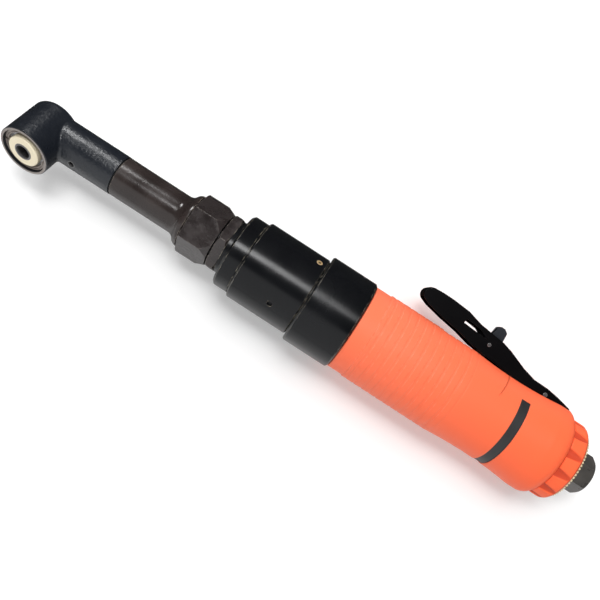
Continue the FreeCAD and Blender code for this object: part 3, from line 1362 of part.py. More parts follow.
# ---------------------------------------------------------------- air inlet
hex_corner = "(inlet_flats / 2 / cos(30))"
bush_blank = turned("inlet_blank", [
    (hex_start, "inlet_bore_radius"), (hex_start, hex_corner),
    (f"{inlet_mouth} - inlet_chamfer", hex_corner),
    (inlet_mouth, f"{hex_corner} - inlet_chamfer * 1.3"), (inlet_mouth, "inlet_bore_radius")])
inlet_prism = hexagon("inlet_flats", "inlet_hex_length",
                      hexagon_place(hex_start, "inlet_turn_angle"))
shank = bar("inlet_shank_radius", "inlet_shank_length", bar_place(
    f"({hex_start} - inlet_shank_length)"))
thread_bore = bar("inlet_bore_radius", "inlet_bore_length", bar_place(
    f"({inlet_mouth} - inlet_bore_length)"))
shank_passage = bar("inlet_passage_radius", "inlet_shank_length + inlet_hex_length", bar_place(
    f"({hex_start} - inlet_shank_length)"))
screen_place = bar_place(f"({inlet_mouth} - inlet_bore_length - inlet_screen_length)")
screen_seat = bar("inlet_screen_radius", "inlet_screen_length", screen_place)
node("inlet_bushing", cut("inlet_bushing", fuse(
    "inlet_body", common("inlet_hex", bush_blank, inlet_prism), shank),
    thread_bore, screen_seat, shank_passage))
node("inlet_screen", bar("inlet_screen_radius", "inlet_screen_length", screen_place))

# ---------------------------------------------------------------- check and write
doc.recompute()
for thing in doc.Objects:
    if "Invalid" in thing.State or "Error" in thing.State:
        raise RuntimeError(f"{thing.Label} failed: {thing.State}")
os.makedirs("parts", exist_ok=True)
for label, thing in nodes.items():
    if thing.Shape.isNull() or not thing.Shape.isValid():
        raise RuntimeError(f"{label} has no valid shape")
    thing.Shape.exportStep(f"parts/{label}.step")
print(len(nodes), "pieces written")
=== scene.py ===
import json
import math
import bpy
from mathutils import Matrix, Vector


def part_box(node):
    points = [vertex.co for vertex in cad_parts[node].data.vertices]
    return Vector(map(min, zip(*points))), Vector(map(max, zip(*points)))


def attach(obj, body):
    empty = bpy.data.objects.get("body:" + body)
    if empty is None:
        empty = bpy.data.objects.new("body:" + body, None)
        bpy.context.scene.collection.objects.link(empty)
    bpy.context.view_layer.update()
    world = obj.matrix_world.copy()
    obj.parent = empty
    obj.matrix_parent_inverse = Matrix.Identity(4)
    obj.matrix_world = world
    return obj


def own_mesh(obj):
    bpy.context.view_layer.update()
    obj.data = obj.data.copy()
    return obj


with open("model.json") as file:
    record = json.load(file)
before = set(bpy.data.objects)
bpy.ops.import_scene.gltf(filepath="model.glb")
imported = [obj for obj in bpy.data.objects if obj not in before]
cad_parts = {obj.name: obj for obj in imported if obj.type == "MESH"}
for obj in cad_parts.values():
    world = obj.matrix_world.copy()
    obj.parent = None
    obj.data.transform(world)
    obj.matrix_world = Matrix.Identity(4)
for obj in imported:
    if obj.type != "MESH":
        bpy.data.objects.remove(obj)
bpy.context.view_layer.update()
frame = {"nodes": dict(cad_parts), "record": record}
bpy.ops.object.select_all(action="DESELECT")
nodes = frame["nodes"]

# ---------------------------------------------------------------------------
# Angle housing: the head and its neck are one steel investment casting, turned where it
# matters and left with a fine blasted skin under black oxide. It screws into the tube.


NUMBER = "NodeSocketFloat"
VECTOR = "NodeSocketVector"


def open_group(name, inputs, outputs):
    """An empty node group with its named sockets, and the nodes for its two ends."""
    group = bpy.data.node_groups.new(name, "ShaderNodeTree")
    for label, kind in inputs:
        group.interface.new_socket(label, in_out="INPUT", socket_type=kind)
    for label, kind in outputs:
        group.interface.new_socket(label, in_out="OUTPUT", socket_type=kind)
    return group, group.nodes.new("NodeGroupInput"), group.nodes.new("NodeGroupOutput")


def build_grain():
    """Fine skin and broad patches, both from noise fixed to the metal."""
    group, inside, outside = open_group(
        "Skin and patches", (("Skin size", NUMBER), ("Patch size", NUMBER)),
        (("Skin", NUMBER), ("Patches", NUMBER)))
    place = group.nodes.new("ShaderNodeTexCoord")
    for size, label in (("Skin size", "Skin"), ("Patch size", "Patches")):
        noise = group.nodes.new("ShaderNodeTexNoise")
        noise.inputs["Detail"].default_value = 3.0
        group.links.new(place.outputs["Object"], noise.inputs["Vector"])
        group.links.new(inside.outputs[size], noise.inputs["Scale"])
        group.links.new(noise.outputs["Fac"], outside.inputs[label])
    return group


def build_edges():
    """A mask of the sharp edges, broken up by noise, and the normal rounded over them."""
    group, inside, outside = open_group(
        "Rubbed and glinting edges", (("Edge radius", NUMBER), ("Wear and glint", NUMBER)),
        (("Mask", NUMBER), ("Normal", VECTOR)))
    rounded = group.nodes.new("ShaderNodeBevel")
    rounded.samples = 6
    shape = group.nodes.new("ShaderNodeNewGeometry")
    facing = group.nodes.new("ShaderNodeVectorMath")
    facing.operation = "DOT_PRODUCT"
    edge = group.nodes.new("ShaderNodeMapRange")
    edge.inputs["From Min"].default_value = 0.995
    edge.inputs["From Max"].default_value = 0.86
    place = group.nodes.new("ShaderNodeTexCoord")
    noise = group.nodes.new("ShaderNodeTexNoise")
    noise.inputs["Scale"].default_value = 420.0
    noise.inputs["Detail"].default_value = 4.0
    broken = group.nodes.new("ShaderNodeMapRange")
    broken.inputs["From Min"].default_value = 0.38
    broken.inputs["From Max"].default_value = 0.62
    both = group.nodes.new("ShaderNodeMath")
    both.operation = "MULTIPLY"
    amount = group.nodes.new("ShaderNodeMath")
    amount.operation = "MULTIPLY"
    link = group.links.new
    link(inside.outputs["Edge radius"], rounded.inputs["Radius"])
    link(rounded.outputs["Normal"], facing.inputs[0])
    link(shape.outputs["Normal"], facing.inputs[1])
    link(facing.outputs["Value"], edge.inputs["Value"])
    link(place.outputs["Object"], noise.inputs["Vector"])
    link(noise.outputs["Fac"], broken.inputs["Value"])
    link(edge.outputs["Result"], both.inputs[0])
    link(broken.outputs["Result"], both.inputs[1])
    link(both.outputs["Value"], amount.inputs[0])
    link(inside.outputs["Wear and glint"], amount.inputs[1])
    link(amount.outputs["Value"], outside.inputs["Mask"])
    link(rounded.outputs["Normal"], outside.inputs["Normal"])
    return group


def build_past_plane():
    """A mask that fades in along a direction, from one place to another."""
    group, inside, outside = open_group(
        "Past a plane", (("Way", VECTOR), ("Start", NUMBER), ("Whole", NUMBER)),
        (("Mask", NUMBER),))
    place = group.nodes.new("ShaderNodeTexCoord")
    along = group.nodes.new("ShaderNodeVectorMath")
    along.operation = "DOT_PRODUCT"
    fade = group.nodes.new("ShaderNodeMapRange")
    link = group.links.new
    link(place.outputs["Object"], along.inputs[0])
    link(inside.outputs["Way"], along.inputs[1])
    link(along.outputs["Value"], fade.inputs["Value"])
    link(inside.outputs["Start"], fade.inputs["From Min"])
    link(inside.outputs["Whole"], fade.inputs["From Max"])
    link(fade.outputs["Result"], outside.inputs["Mask"])
    return group


def build_near_axis():
    """A mask that holds its strength within one radius of an axis and is gone past another."""
    group, inside, outside = open_group(
        "Near an axis", (("Foot", VECTOR), ("Way", VECTOR), ("Whole", NUMBER),
                         ("Gone", NUMBER), ("Strength", NUMBER)), (("Mask", NUMBER),))
    place = group.nodes.new("ShaderNodeTexCoord")
    offset = group.nodes.new("ShaderNodeVectorMath")
    offset.operation = "SUBTRACT"
    arm = group.nodes.new("ShaderNodeVectorMath")
    arm.operation = "CROSS_PRODUCT"
    distance = group.nodes.new("ShaderNodeVectorMath")
    distance.operation = "LENGTH"
    fade = group.nodes.new("ShaderNodeMapRange")
    link = group.links.new
    link(place.outputs["Object"], offset.inputs[0])
    link(inside.outputs["Foot"], offset.inputs[1])
    link(offset.outputs["Vector"], arm.inputs[0])
    link(inside.outputs["Way"], arm.inputs[1])
    link(arm.outputs["Vector"], distance.inputs[0])
    link(distance.outputs["Value"], fade.inputs["Value"])
    link(inside.outputs["Gone"], fade.inputs["From Min"])
    link(inside.outputs["Whole"], fade.inputs["From Max"])
    link(inside.outputs["Strength"], fade.inputs["To Max"])
    link(fade.outputs["Result"], outside.inputs["Mask"])
    return group


grain_group = build_grain()
edge_group = build_edges()
past_plane_group = build_past_plane()
near_axis_group = build_near_axis()


def finish(name, colour, patch_colour, wear_and_glint_colour, roughness, metallic=0.0, wear_and_glint=0.5,
           edge_radius=0.0003, skin_size=1800.0, skin_depth=0.00002, patch_size=60.0,
           rough_spread=0.06, coat=0.0, shine=0.5):
    """A material: base colour drifting to a second one in patches, edges brought to a third,
    which is rubbed wear on some finishes and a painted highlight on others.
    """
    material = bpy.data.materials.new(name)
    material.use_nodes = True
    tree = material.node_tree
    shader = tree.nodes["Principled BSDF"]
    shader.inputs["Metallic"].default_value = metallic
    shader.inputs["Coat Weight"].default_value = coat
    shader.inputs["Coat Roughness"].default_value = 0.12
    shader.inputs["Specular IOR Level"].default_value = shine
    grain = tree.nodes.new("ShaderNodeGroup")
    grain.node_tree = grain_group
    grain.inputs["Skin size"].default_value = skin_size
    grain.inputs["Patch size"].default_value = patch_size
    edges = tree.nodes.new("ShaderNodeGroup")
    edges.node_tree = edge_group
    edges.inputs["Edge radius"].default_value = edge_radius
    edges.inputs["Wear and glint"].default_value = wear_and_glint
    base = tree.nodes.new("ShaderNodeMix")
    base.data_type = "RGBA"
    base.inputs["A"].default_value = (*colour, 1.0)
    base.inputs["B"].default_value = (*patch_colour, 1.0)
    wear_and_glint_mix = tree.nodes.new("ShaderNodeMix")
    wear_and_glint_mix.data_type = "RGBA"
    wear_and_glint_mix.inputs["B"].default_value = (*wear_and_glint_colour, 1.0)
    rough = tree.nodes.new("ShaderNodeMapRange")
    rough.inputs["From Min"].default_value = 0.3
    rough.inputs["From Max"].default_value = 0.7
    rough.inputs["To Min"].default_value = roughness - rough_spread
    rough.inputs["To Max"].default_value = roughness + rough_spread
    bump = tree.nodes.new("ShaderNodeBump")
    bump.inputs["Strength"].default_value = 1.0
    bump.inputs["Distance"].default_value = skin_depth
    link = tree.links.new
    link(grain.outputs["Patches"], base.inputs["Factor"])
    link(base.outputs["Result"], wear_and_glint_mix.inputs["A"])
    link(edges.outputs["Mask"], wear_and_glint_mix.inputs["Factor"])
    link(wear_and_glint_mix.outputs["Result"], shader.inputs["Base Color"])
    link(grain.outputs["Patches"], rough.inputs["Value"])
    link(rough.outputs["Result"], shader.inputs["Roughness"])
    link(grain.outputs["Skin"], bump.inputs["Height"])
    link(edges.outputs["Normal"], bump.inputs["Normal"])
    link(bump.outputs["Normal"], shader.inputs["Normal"])
    return material


def coat(material, *names):
    """Put a finish on pieces of the frame."""
    for name in names:
        nodes[name].data.materials.clear()
        nodes[name].data.materials.append(material)


def lay_over(material, colour, mask_group, values):
    """Lay a second colour over a finish where a mask group, set to these values, says so."""
    tree = material.node_tree
    shader = tree.nodes["Principled BSDF"]
    below = shader.inputs["Base Color"].links[0].from_socket
    mask = tree.nodes.new("ShaderNodeGroup")
    mask.node_tree = mask_group
    for label, value in values.items():
        mask.inputs[label].default_value = value
    over = tree.nodes.new("ShaderNodeMix")
    over.data_type = "RGBA"
    over.inputs["B"].default_value = (*colour, 1.0)
    tree.links.new(mask.outputs["Mask"], over.inputs["Factor"])
    tree.links.new(below, over.inputs["A"])
    tree.links.new(over.outputs["Result"], shader.inputs["Base Color"])


def colour_past(material, colour, way, start, whole):
    """A second colour past a plane square to a direction."""
    lay_over(material, colour, past_plane_group, {"Way": way, "Start": start, "Whole": whole})


def colour_round(material, colour, station, way, radius, soft, strength=1.0):
    """A second colour round an axis that leaves the tool's own axis at a station."""
    lay_over(material, colour, near_axis_group,
             {"Foot": (station, 0.0, 0.0), "Way": way, "Whole": radius,
              "Gone": radius + soft, "Strength": strength})


def side_of(name):
    """Where a small piece sits: its station along the tool, and its way out from the axis."""
    low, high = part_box(name)
    way = Vector((0.0, low.y + high.y, low.z + high.z)).normalized()
    return 0.5 * (low.x + high.x), way


spindle_mount = frame["record"]["mounts"][0]
spindle_axis = Vector(spindle_mount["axis"])
nose_height = Vector(spindle_mount["pos_m"]).dot(spindle_axis)
casting = finish("blued casting", (0.006, 0.008, 0.0125), (0.013, 0.016, 0.022),
                 (0.17, 0.17, 0.175), roughness=0.31, metallic=0.05, wear_and_glint=0.55,
                 skin_size=700.0, skin_depth=0.0002, patch_size=110.0, shine=0.75)
BARE_RIM = 0.0006
BARE_RIM_FADE = 0.0001
colour_past(casting, (0.27, 0.235, 0.215), spindle_axis, nose_height - BARE_RIM,
            nose_height - BARE_RIM + BARE_RIM_FADE)
screw_station, screw_way = side_of("neck_screw")
colour_round(casting, (0.085, 0.085, 0.085), screw_station, screw_way, radius=0.0018,
             soft=0.0003)
coat(casting, "angle_housing")

# ---------------------------------------------------------------------------
# Bearings, retainer ring and spindle: ground bearing steel behind a bright retainer ring with
# two notches for a pin spanner, round a blackened spindle with a turned bronze nose ring.
bearing_steel = finish("bearing steel", (0.42, 0.42, 0.44), (0.5, 0.5, 0.51), (0.7, 0.7, 0.7),
                       roughness=0.3, metallic=1.0, wear_and_glint=0.3, edge_radius=0.0001)
coat(bearing_steel, "front_spindle_bearing", "rear_spindle_bearing", "front_pinion_bearing",
     "rear_pinion_bearing", "shaft_bearing", "carrier_bearing", "front_rotor_bearing",
     "rear_rotor_bearing")
coat(finish("retainer steel", (0.20, 0.165, 0.15), (0.34, 0.29, 0.26), (0.85, 0.79, 0.7),
            roughness=0.3, metallic=0.3, wear_and_glint=0.9, edge_radius=0.00016, patch_size=260.0),
     "bearing_retainer")
spindle_steel = finish("spindle steel", (0.11, 0.11, 0.115), (0.19, 0.185, 0.18),
                       (0.55, 0.55, 0.52), roughness=0.34, metallic=0.3, wear_and_glint=0.8,
                       edge_radius=0.00018, patch_size=260.0)
coat(spindle_steel, "output_spindle")
coat(finish("nose bronze", (1.0, 0.91, 0.7), (0.93, 0.82, 0.58), (1.0, 0.95, 0.82),
            roughness=0.38, metallic=0.15, wear_and_glint=0.4, edge_radius=0.00015), "nose_ring")


WALL_GAP = 0.00002
STEPS_A_TURN = 40


def thread(name, mount, mouth, depth, pitch, length, material):
    """A screw thread standing in from the wall of a mount's bore: a three-sided ridge swept
    round the bore's axis, from just inside its mouth inwards."""
    axis = Vector(mount["axis"])
    radius = mount["dims"]["r_mm"] / 1000 - WALL_GAP
    bpy.ops.object.select_all(action="DESELECT")
    bpy.ops.mesh.primitive_circle_add(vertices=3, radius=1.0, location=(0, 0, 0))
    ridge = bpy.context.object
    ridge.name = name
    ridge.data.name = name
    half_foot = 0.42 * pitch
    tip, low, high = ridge.data.vertices
    tip.co = (radius - depth, 0.0, 0.0)
    low.co = (radius, 0.0, -half_foot)
    high.co = (radius, 0.0, half_foot)
    sweep = ridge.modifiers.new("sweep", "SCREW")
    sweep.axis = "Z"
    sweep.steps = STEPS_A_TURN
    sweep.render_steps = STEPS_A_TURN
    sweep.screw_offset = pitch
    sweep.iterations = int(length / pitch)
    sweep.use_normal_calculate = True
    bpy.ops.object.modifier_apply(modifier=sweep.name)
    ridge.rotation_euler = (-axis).to_track_quat("Z", "Y").to_euler()
    ridge.location = Vector(mount["pos_m"]) - axis * mouth
    bpy.ops.object.transform_apply(location=True, rotation=True, scale=True)
    bpy.ops.object.mode_set(mode="EDIT")
    bpy.ops.mesh.select_all(action="SELECT")
    bpy.ops.mesh.normals_make_consistent(inside=False)
    bpy.ops.object.mode_set(mode="OBJECT")
    bpy.ops.object.shade_smooth_by_angle(angle=math.radians(30.0))
    ridge.data.materials.append(material)
    return ridge


bore_black = finish("bore black", (0.012, 0.012, 0.012), (0.02, 0.02, 0.02), (0.1, 0.1, 0.1),
                    roughness=0.4, metallic=0.4, wear_and_glint=0.4, edge_radius=0.0001)
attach(thread("spindle_thread", spindle_mount, mouth=0.0007, depth=0.0004, pitch=0.00064,
               length=0.0088, material=bore_black), "spindle")

# ---------------------------------------------------------------------------
# Neck screw and seam ring: a recessed black socket screw locks the bearing stack, and a rubber
# ring fills the joint between neck and tube.
coat(finish("screw black", (0.012, 0.012, 0.014), (0.03, 0.03, 0.032), (0.25, 0.25, 0.25),
            roughness=0.4, metallic=0.6, wear_and_glint=0.5, edge_radius=0.0001), "neck_screw",
     "grease_plug")
coat(finish("seal rubber", (0.006, 0.006, 0.006), (0.012, 0.012, 0.012), (0.03, 0.03, 0.03),
            roughness=0.7, wear_and_glint=0.1), "seam_ring", "valve_seat")

# ---------------------------------------------------------------------------
# Extension tube: a steel tube flared at its rear, polished and then dipped to a glossy
# brown-black. A small blind hole for a pin spanner, near its front end, is painted as a black
# spot of shade.
# The pale brown edge colour is partly rubbed wear and partly a painted highlight along the
# chamfers.
tube_brown = finish("browned tube", (0.012, 0.0085, 0.008), (0.048, 0.036, 0.033),
                    (0.55, 0.46, 0.38), roughness=0.25, metallic=0.1, wear_and_glint=0.9,
                    edge_radius=0.0004, skin_size=700.0, skin_depth=0.00004,
                    patch_size=85.0, shine=0.66)
SPANNER_HOLE_X = -0.2538
SPANNER_HOLE_WAY = (0.0, 0.974, 0.225)
# Painted shade: a black spot stands for the shadow inside the spanner hole.
colour_round(tube_brown, (0.001, 0.001, 0.001), SPANNER_HOLE_X, SPANNER_HOLE_WAY,
             radius=0.0014, soft=0.0002)
coat(tube_brown, "extension_tube")

# ---------------------------------------------------------------------------
# Coupling nut and lock nut: hexagon bar stock, browned, its edges rubbed bright by spanners.
coat(finish("browned nut", (0.007, 0.0052, 0.0052), (0.05, 0.039, 0.038),
            (0.5, 0.44, 0.38), roughness=0.28, metallic=0.15, wear_and_glint=0.95, edge_radius=0.00028,
            skin_size=520.0, skin_depth=0.00015, patch_size=160.0, rough_spread=0.1,
            shine=0.85), "coupling_nut", "lock_nut")

# ---------------------------------------------------------------------------
# Gear case, front cap and collar: turned steel sleeves in satin black, the corners of the
# joints painted with thin bright cream lines as glints; a brass pin and a grease hole stand
# near the joint.
# Painted highlight: the cream edge colour draws thin glints along the joint corners.
case_black = finish("case black", (0.0028, 0.0032, 0.004), (0.0065, 0.007, 0.0085),
                    (0.95, 0.85, 0.66), roughness=0.22, metallic=0.05, wear_and_glint=0.85,
                    edge_radius=0.00022, skin_size=1100.0, skin_depth=0.00001,
                    patch_size=50.0, shine=0.38)
coat(case_black, "case_front_cap", "gear_case", "motor_housing")
turned_brass = finish("turned brass", (0.62, 0.44, 0.2), (0.5, 0.33, 0.14),
                      (0.85, 0.7, 0.42), roughness=0.3, metallic=1.0, wear_and_glint=0.4,
                      edge_radius=0.0001)
coat(turned_brass, "pin_bush", "chamber_plug")
pin_brass = finish("pin brass", (0.42, 0.26, 0.1), (0.85, 0.6, 0.3), (1.0, 0.86, 0.58),
                   roughness=0.3, metallic=0.3, wear_and_glint=0.9, edge_radius=0.0002,
                   patch_size=500.0)
# Painted shade and highlight: a dark spot round the pin's axis stands for the shadow in its
# hole, and the bright gold edge colour is a painted glint ring.
pin_station, pin_way = side_of("case_pin")
colour_round(pin_brass, (0.02, 0.012, 0.007), pin_station, pin_way, radius=0.00065,
             soft=0.0002)
coat(pin_brass, "case_pin")

# ---------------------------------------------------------------------------
# Handle: a moulded orange plastic sleeve with shallow grip rings that fade towards the waist,
# and a bare dark band let in round its rear third.


def grip_finish(name):
    """The handle's orange, deepening towards the rear end, with its ring edges and rims painted
    a lighter orange as highlights.
    """
    orange = finish(name, (0.95, 0.172, 0.077), (1.0, 0.188, 0.09), (1.0, 0.42, 0.28),
                    roughness=0.46, wear_and_glint=0.75, edge_radius=0.0005, skin_size=1300.0,
                    skin_depth=0.00001, patch_size=18.0, shine=0.25)
    colour_past(orange, (1.0, 0.132, 0.04), (1.0, 0.0, 0.0), start=-0.11, whole=0.01)
    return orange


def parting_line(material, station, slant, side_from, side_to, width, depth):
    """Press a fine slanting parting line into a moulded piece, fading out round its side."""
    tree = material.node_tree
    shader = tree.nodes["Principled BSDF"]
    bump = shader.inputs["Normal"].links[0].from_node
    link = tree.links.new
    place = tree.nodes.new("ShaderNodeTexCoord")
    axes = tree.nodes.new("ShaderNodeSeparateXYZ")
    along = tree.nodes.new("ShaderNodeVectorMath")
    along.operation = "DOT_PRODUCT"
    along.inputs[1].default_value = (1.0, slant, 0.0)
    offset = tree.nodes.new("ShaderNodeMath")
    offset.operation = "SUBTRACT"
    offset.inputs[1].default_value = station
    distance = tree.nodes.new("ShaderNodeMath")
    distance.operation = "ABSOLUTE"
    near = tree.nodes.new("ShaderNodeMapRange")
    near.inputs["From Min"].default_value = width
    near.inputs["From Max"].default_value = 0.0
    side = tree.nodes.new("ShaderNodeMapRange")
    side.inputs["From Min"].default_value = side_from
    side.inputs["From Max"].default_value = side_to
    groove = tree.nodes.new("ShaderNodeMath")
    groove.operation = "MULTIPLY"
    dent = tree.nodes.new("ShaderNodeBump")
    dent.invert = True
    dent.inputs["Distance"].default_value = depth
    link(place.outputs["Object"], axes.inputs["Vector"])
    link(place.outputs["Object"], along.inputs[0])
    link(along.outputs["Value"], offset.inputs[0])
    link(offset.outputs["Value"], distance.inputs[0])
    link(distance.outputs["Value"], near.inputs["Value"])
    link(axes.outputs["Y"], side.inputs["Value"])
    link(near.outputs["Result"], groove.inputs[0])
    link(side.outputs["Result"], groove.inputs[1])
    link(groove.outputs["Value"], dent.inputs["Height"])
    link(bump.outputs["Normal"], dent.inputs["Normal"])
    link(dent.outputs["Normal"], shader.inputs["Normal"])


handle_orange = grip_finish("handle orange")
parting_line(handle_orange, station=-0.063, slant=-0.27, side_from=0.009, side_to=0.012,
             width=0.00035, depth=0.0005)
coat(handle_orange, "handle_shell")
coat(finish("band black", (0.02, 0.02, 0.021), (0.035, 0.035, 0.036), (0.08, 0.08, 0.08),
            roughness=0.5, wear_and_glint=0.2), "label_band")

# ---------------------------------------------------------------------------
# Throttle lever, latch and pins: a stamped steel channel in black, with a tilting latch that
# stands up through a slot, both on bright pins.
lever_black = finish("lever black", (0.0014, 0.0013, 0.0018), (0.003, 0.0028, 0.0034),
                     (0.08, 0.08, 0.08), roughness=0.42, wear_and_glint=0.45, edge_radius=0.0003,
                     skin_size=1200.0, shine=0.08)
coat(lever_black, "throttle_lever")
coat(finish("latch black", (0.014, 0.016, 0.022), (0.024, 0.027, 0.034), (0.12, 0.12, 0.12),
            roughness=0.42, metallic=0.3, wear_and_glint=0.4), "lock_latch")
# The pins are dark steel; their pale edge colour is partly rubbed wear and partly painted
# glints.
bright_pin = finish("bright pin", (0.09, 0.09, 0.095), (0.2, 0.2, 0.2),
                    (0.85, 0.85, 0.85), roughness=0.22, metallic=0.5, wear_and_glint=0.9,
                    edge_radius=0.0003, patch_size=420.0)
coat(bright_pin, "lever_pin", "latch_pin", "latch_spring", "throttle_pin", "valve_spring",
     "motor_dowel")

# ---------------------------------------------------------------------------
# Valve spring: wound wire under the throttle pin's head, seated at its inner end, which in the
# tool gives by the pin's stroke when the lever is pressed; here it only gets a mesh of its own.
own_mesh(nodes["valve_spring"])

# ---------------------------------------------------------------------------
# Exhaust cap: moulded in the same orange, fluted for the fingers, with painted shade in the
# flutes;
# a brass gauze disc closes its rear, its cut edge standing up as a row of bright beads.
cap_orange = grip_finish("cap orange")
# Painted shade: the orange darkens inside the flute floor's radius, deepening the flutes.
FLUTE_FLOOR = 0.0194
colour_round(cap_orange, (0.5, 0.045, 0.018), 0.0, (1.0, 0.0, 0.0), radius=FLUTE_FLOOR,
             soft=0.0004, strength=0.8)
coat(cap_orange, "exhaust_cap")

gauze_brass = finish("gauze brass", (0.72, 0.56, 0.3), (0.95, 0.84, 0.58), (1.0, 0.95, 0.78),
                     roughness=0.3, metallic=0.2, wear_and_glint=0.5, edge_radius=0.0001,
                     patch_size=700.0)
coat(gauze_brass, "exhaust_screen", "inlet_screen")
BEADS = 68
BEAD_RADIUS = 0.00072
BEAD_CIRCLE = 0.0173
screen_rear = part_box("exhaust_screen")[1].x
bpy.ops.object.select_all(action="DESELECT")
bpy.ops.mesh.primitive_ico_sphere_add(subdivisions=2, radius=BEAD_RADIUS, location=(0, 0, 0))
beads = bpy.context.object
beads.name = "screen_beads"
beads.data.name = "screen_beads"
bpy.ops.object.mode_set(mode="EDIT")
bpy.ops.mesh.select_all(action="SELECT")
bpy.ops.transform.resize(value=(0.9, 1.0, 0.8))
bpy.ops.transform.translate(value=(screen_rear, 0.0, BEAD_CIRCLE))
bpy.ops.mesh.spin(steps=BEADS - 1, dupli=True, angle=2 * math.pi * (BEADS - 1) / BEADS,
                  center=(0.0, 0.0, 0.0), axis=(1.0, 0.0, 0.0))
bpy.ops.object.mode_set(mode="OBJECT")
bpy.ops.object.shade_smooth()
beads.data.materials.append(gauze_brass)
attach(beads, "exhaust_cap")

# ---------------------------------------------------------------------------
# Muffler felt and air inlet: a felt ring inside the cap, and a blackened steel bushing whose
# hexagon takes the spanner while the hose fitting is screwed in.
coat(finish("muffler felt", (0.3, 0.29, 0.27), (0.4, 0.39, 0.36), (0.45, 0.44, 0.4),
            roughness=0.9, wear_and_glint=0.1, skin_size=2500.0, skin_depth=0.0002), "muffler_felt")
inlet_black = finish("inlet black", (0.045, 0.042, 0.04), (0.14, 0.13, 0.12),
                     (0.4, 0.38, 0.36), roughness=0.32, metallic=0.3, wear_and_glint=0.7,
                     edge_radius=0.0003, patch_size=150.0, shine=0.8)
coat(inlet_black, "inlet_bushing")
inlet_mount = frame["record"]["mounts"][1]
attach(thread("inlet_thread", inlet_mount, mouth=0.0008, depth=0.0007, pitch=0.00141,
               length=0.0095, material=bore_black), "housing")

# ---------------------------------------------------------------------------
# Gears, shafts and motor: ground steel inside the cases, with phenolic vanes, a graphite
# gasket and a machined aluminium valve body.
coat(finish("gear steel", (0.36, 0.36, 0.37), (0.45, 0.45, 0.46), (0.7, 0.7, 0.7),
            roughness=0.33, metallic=1.0, wear_and_glint=0.4, edge_radius=0.0001),
     "spindle_bevel_gear", "bevel_pinion", "pinion_spacer", "pinion_bearing_nut", "drive_shaft",
     "planet_carrier", "planet_pins", "planet_gear_1", "planet_gear_2", "planet_gear_3",
     "ring_gear", "sun_gear", "rotor", "motor_cylinder", "front_end_plate", "rear_end_plate")
coat(finish("vane phenolic", (0.22, 0.12, 0.05), (0.3, 0.18, 0.08), (0.35, 0.22, 0.12),
            roughness=0.5, wear_and_glint=0.2), "rotor_vanes")
coat(finish("graphite gasket", (0.05, 0.05, 0.05), (0.09, 0.09, 0.09), (0.12, 0.12, 0.12),
            roughness=0.6, wear_and_glint=0.2), "motor_gasket")
coat(finish("machined aluminium", (0.66, 0.66, 0.67), (0.74, 0.74, 0.75), (0.85, 0.85, 0.85),
            roughness=0.32, metallic=1.0, wear_and_glint=0.3), "valve_body", "ring_gear_spacer")

# ---------------------------------------------------------------------------
# Studio: a white floor under the resting tool and a white world. Two broad lamps light it
# without showing in the gloss, and three small keys put the glints on neck, tube and case.
TOOL_MIDDLE = -0.158


def level_fade(tree, socket, start, end, level_start, level_end):
    """A level that runs from one value to another as a socket runs from start to end."""
    fade = tree.nodes.new("ShaderNodeMapRange")
    fade.inputs["From Min"].default_value = start
    fade.inputs["From Max"].default_value = end
    fade.inputs["To Min"].default_value = level_start
    fade.inputs["To Max"].default_value = level_end
    tree.links.new(socket, fade.inputs["Value"])
    return fade.outputs["Result"]


def floor_white():
    """White to the light. The gloss of the metal sees it darken under the tool's far side, the
    camera sees it lifted to pure white farther off, and from below it is clear."""
    material = bpy.data.materials.new("floor white")
    material.use_nodes = True
    tree = material.node_tree
    link = tree.links.new
    shader = tree.nodes["Principled BSDF"]
    shader.inputs["Base Color"].default_value = (0.9, 0.9, 0.9, 1.0)
    shader.inputs["Roughness"].default_value = 0.9
    shader.inputs["Specular IOR Level"].default_value = 0.0
    place = tree.nodes.new("ShaderNodeTexCoord")
    ray = tree.nodes.new("ShaderNodeLightPath")

    axes = tree.nodes.new("ShaderNodeSeparateXYZ")
    mirrored = tree.nodes.new("ShaderNodeBsdfDiffuse")
    by_gloss = tree.nodes.new("ShaderNodeMixShader")
    link(place.outputs["Object"], axes.inputs["Vector"])
    link(level_fade(tree, axes.outputs["Y"], start=-0.04, end=0.0, level_start=0.8,
                    level_end=0.03), mirrored.inputs["Color"])
    link(ray.outputs["Is Glossy Ray"], by_gloss.inputs["Fac"])
    link(shader.outputs["BSDF"], by_gloss.inputs[1])
    link(mirrored.outputs["BSDF"], by_gloss.inputs[2])

    reach = tree.nodes.new("ShaderNodeVectorMath")
    reach.operation = "LENGTH"
    lift = tree.nodes.new("ShaderNodeMath")
    lift.operation = "MULTIPLY"
    glow = tree.nodes.new("ShaderNodeEmission")
    lifted = tree.nodes.new("ShaderNodeAddShader")
    link(place.outputs["Object"], reach.inputs[0])
    link(ray.outputs["Is Camera Ray"], lift.inputs[0])
    link(level_fade(tree, reach.outputs["Value"], start=0.25, end=0.9, level_start=0.14,
                    level_end=1.0), lift.inputs[1])
    link(lift.outputs["Value"], glow.inputs["Strength"])
    link(by_gloss.outputs["Shader"], lifted.inputs[0])
    link(glow.outputs["Emission"], lifted.inputs[1])

    side = tree.nodes.new("ShaderNodeNewGeometry")
    from_below = tree.nodes.new("ShaderNodeMath")
    from_below.operation = "MULTIPLY"
    clear = tree.nodes.new("ShaderNodeBsdfTransparent")
    seen = tree.nodes.new("ShaderNodeMixShader")
    link(ray.outputs["Is Camera Ray"], from_below.inputs[0])
    link(side.outputs["Backfacing"], from_below.inputs[1])
    link(from_below.outputs["Value"], seen.inputs["Fac"])
    link(lifted.outputs["Shader"], seen.inputs[1])
    link(clear.outputs["BSDF"], seen.inputs[2])
    link(seen.outputs["Shader"], tree.nodes["Material Output"].inputs["Surface"])
    return material


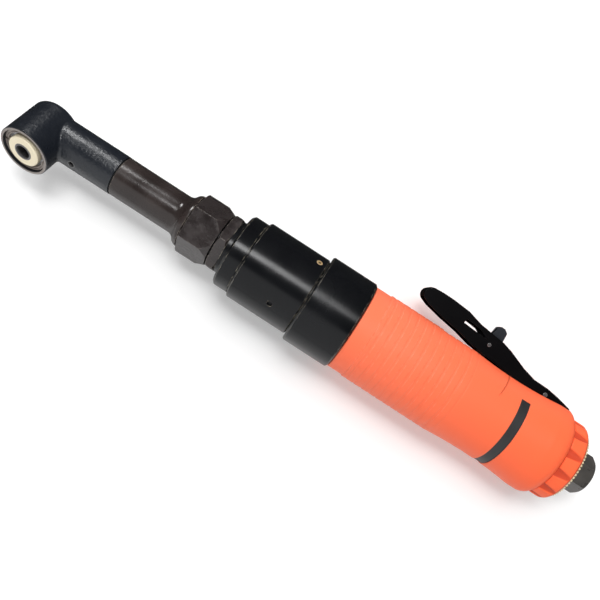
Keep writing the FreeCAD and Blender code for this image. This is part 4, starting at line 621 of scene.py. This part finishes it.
floor_height = min(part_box("motor_housing")[0].z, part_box("handle_shell")[0].z)
bpy.ops.mesh.primitive_plane_add(size=6.0, location=(-0.15, 0.0, floor_height))
floor = bpy.context.object
floor.name = "floor"
floor.data.materials.append(floor_white())

world = bpy.data.worlds.new("studio")
bpy.context.scene.world = world
world.use_nodes = True
sky = world.node_tree
background = sky.nodes["Background"]
background.inputs["Color"].default_value = (1.0, 1.0, 1.0, 1.0)
sky_way = sky.nodes.new("ShaderNodeTexCoord")
sky_axes = sky.nodes.new("ShaderNodeSeparateXYZ")
sky_ray = sky.nodes.new("ShaderNodeLightPath")
sky_level = sky.nodes.new("ShaderNodeMix")
sky_level.inputs["A"].default_value = 0.4
sky_white = sky.nodes.new("ShaderNodeMix")
sky_white.inputs["B"].default_value = 1.0
sky.links.new(sky_way.outputs["Generated"], sky_axes.inputs["Vector"])
sky.links.new(sky_ray.outputs["Is Glossy Ray"], sky_level.inputs["Factor"])
sky.links.new(level_fade(sky, sky_axes.outputs["Y"], start=-0.42, end=-0.32, level_start=0.75,
                         level_end=0.03), sky_level.inputs["B"])
sky.links.new(sky_level.outputs["Result"], sky_white.inputs["A"])
sky.links.new(sky_ray.outputs["Is Camera Ray"], sky_white.inputs["Factor"])
sky.links.new(sky_white.outputs["Result"], background.inputs["Strength"])


def softbox(name, side_angle, along, distance, width, length, power, mirrored=True):
    """A rectangular light aimed at the tool's middle, side_angle from +Z towards +Y, seen in
    the gloss of the metal only where it is mirrored."""
    middle = Vector((TOOL_MIDDLE, 0.0, 0.0))
    lamp = bpy.data.lights.new(name, "AREA")
    lamp.shape = "RECTANGLE"
    lamp.size = length
    lamp.size_y = width
    lamp.energy = power
    holder = bpy.data.objects.new(name, lamp)
    holder.visible_glossy = mirrored
    bpy.context.scene.collection.objects.link(holder)
    tilt = math.radians(side_angle)
    holder.location = middle + Vector((along, distance * math.sin(tilt),
                                       distance * math.cos(tilt)))
    aim = middle - holder.location
    holder.rotation_euler = aim.to_track_quat("-Z", "Y").to_euler()
    return holder


softbox("front key", side_angle=50.0, along=-0.50, distance=0.85, width=0.2, length=0.24,
        power=2.8)
softbox("tube key", side_angle=15.0, along=-0.19, distance=0.85, width=0.12, length=0.14,
        power=0.7)
softbox("rear key", side_angle=19.0, along=-0.05, distance=0.85, width=0.2, length=0.22,
        power=1.3)
softbox("main", side_angle=24.0, along=0.0, distance=0.85, width=0.4, length=0.6, power=3.3,
        mirrored=False)
softbox("fill", side_angle=-62.0, along=0.1, distance=1.0, width=0.5, length=0.9, power=2.2,
        mirrored=False)

lens = bpy.data.cameras.new("camera")
camera = bpy.data.objects.new("camera", lens)
bpy.context.scene.collection.objects.link(camera)
lens.sensor_width = 36.0
lens.lens = 42.3
lens.clip_start = 0.01
camera.location = (-0.1587, -0.003, 0.335)
camera.rotation_euler = (0.0, 0.0, math.radians(32.95))
bpy.context.scene.camera = camera

bpy.context.scene.view_settings.view_transform = "Standard"
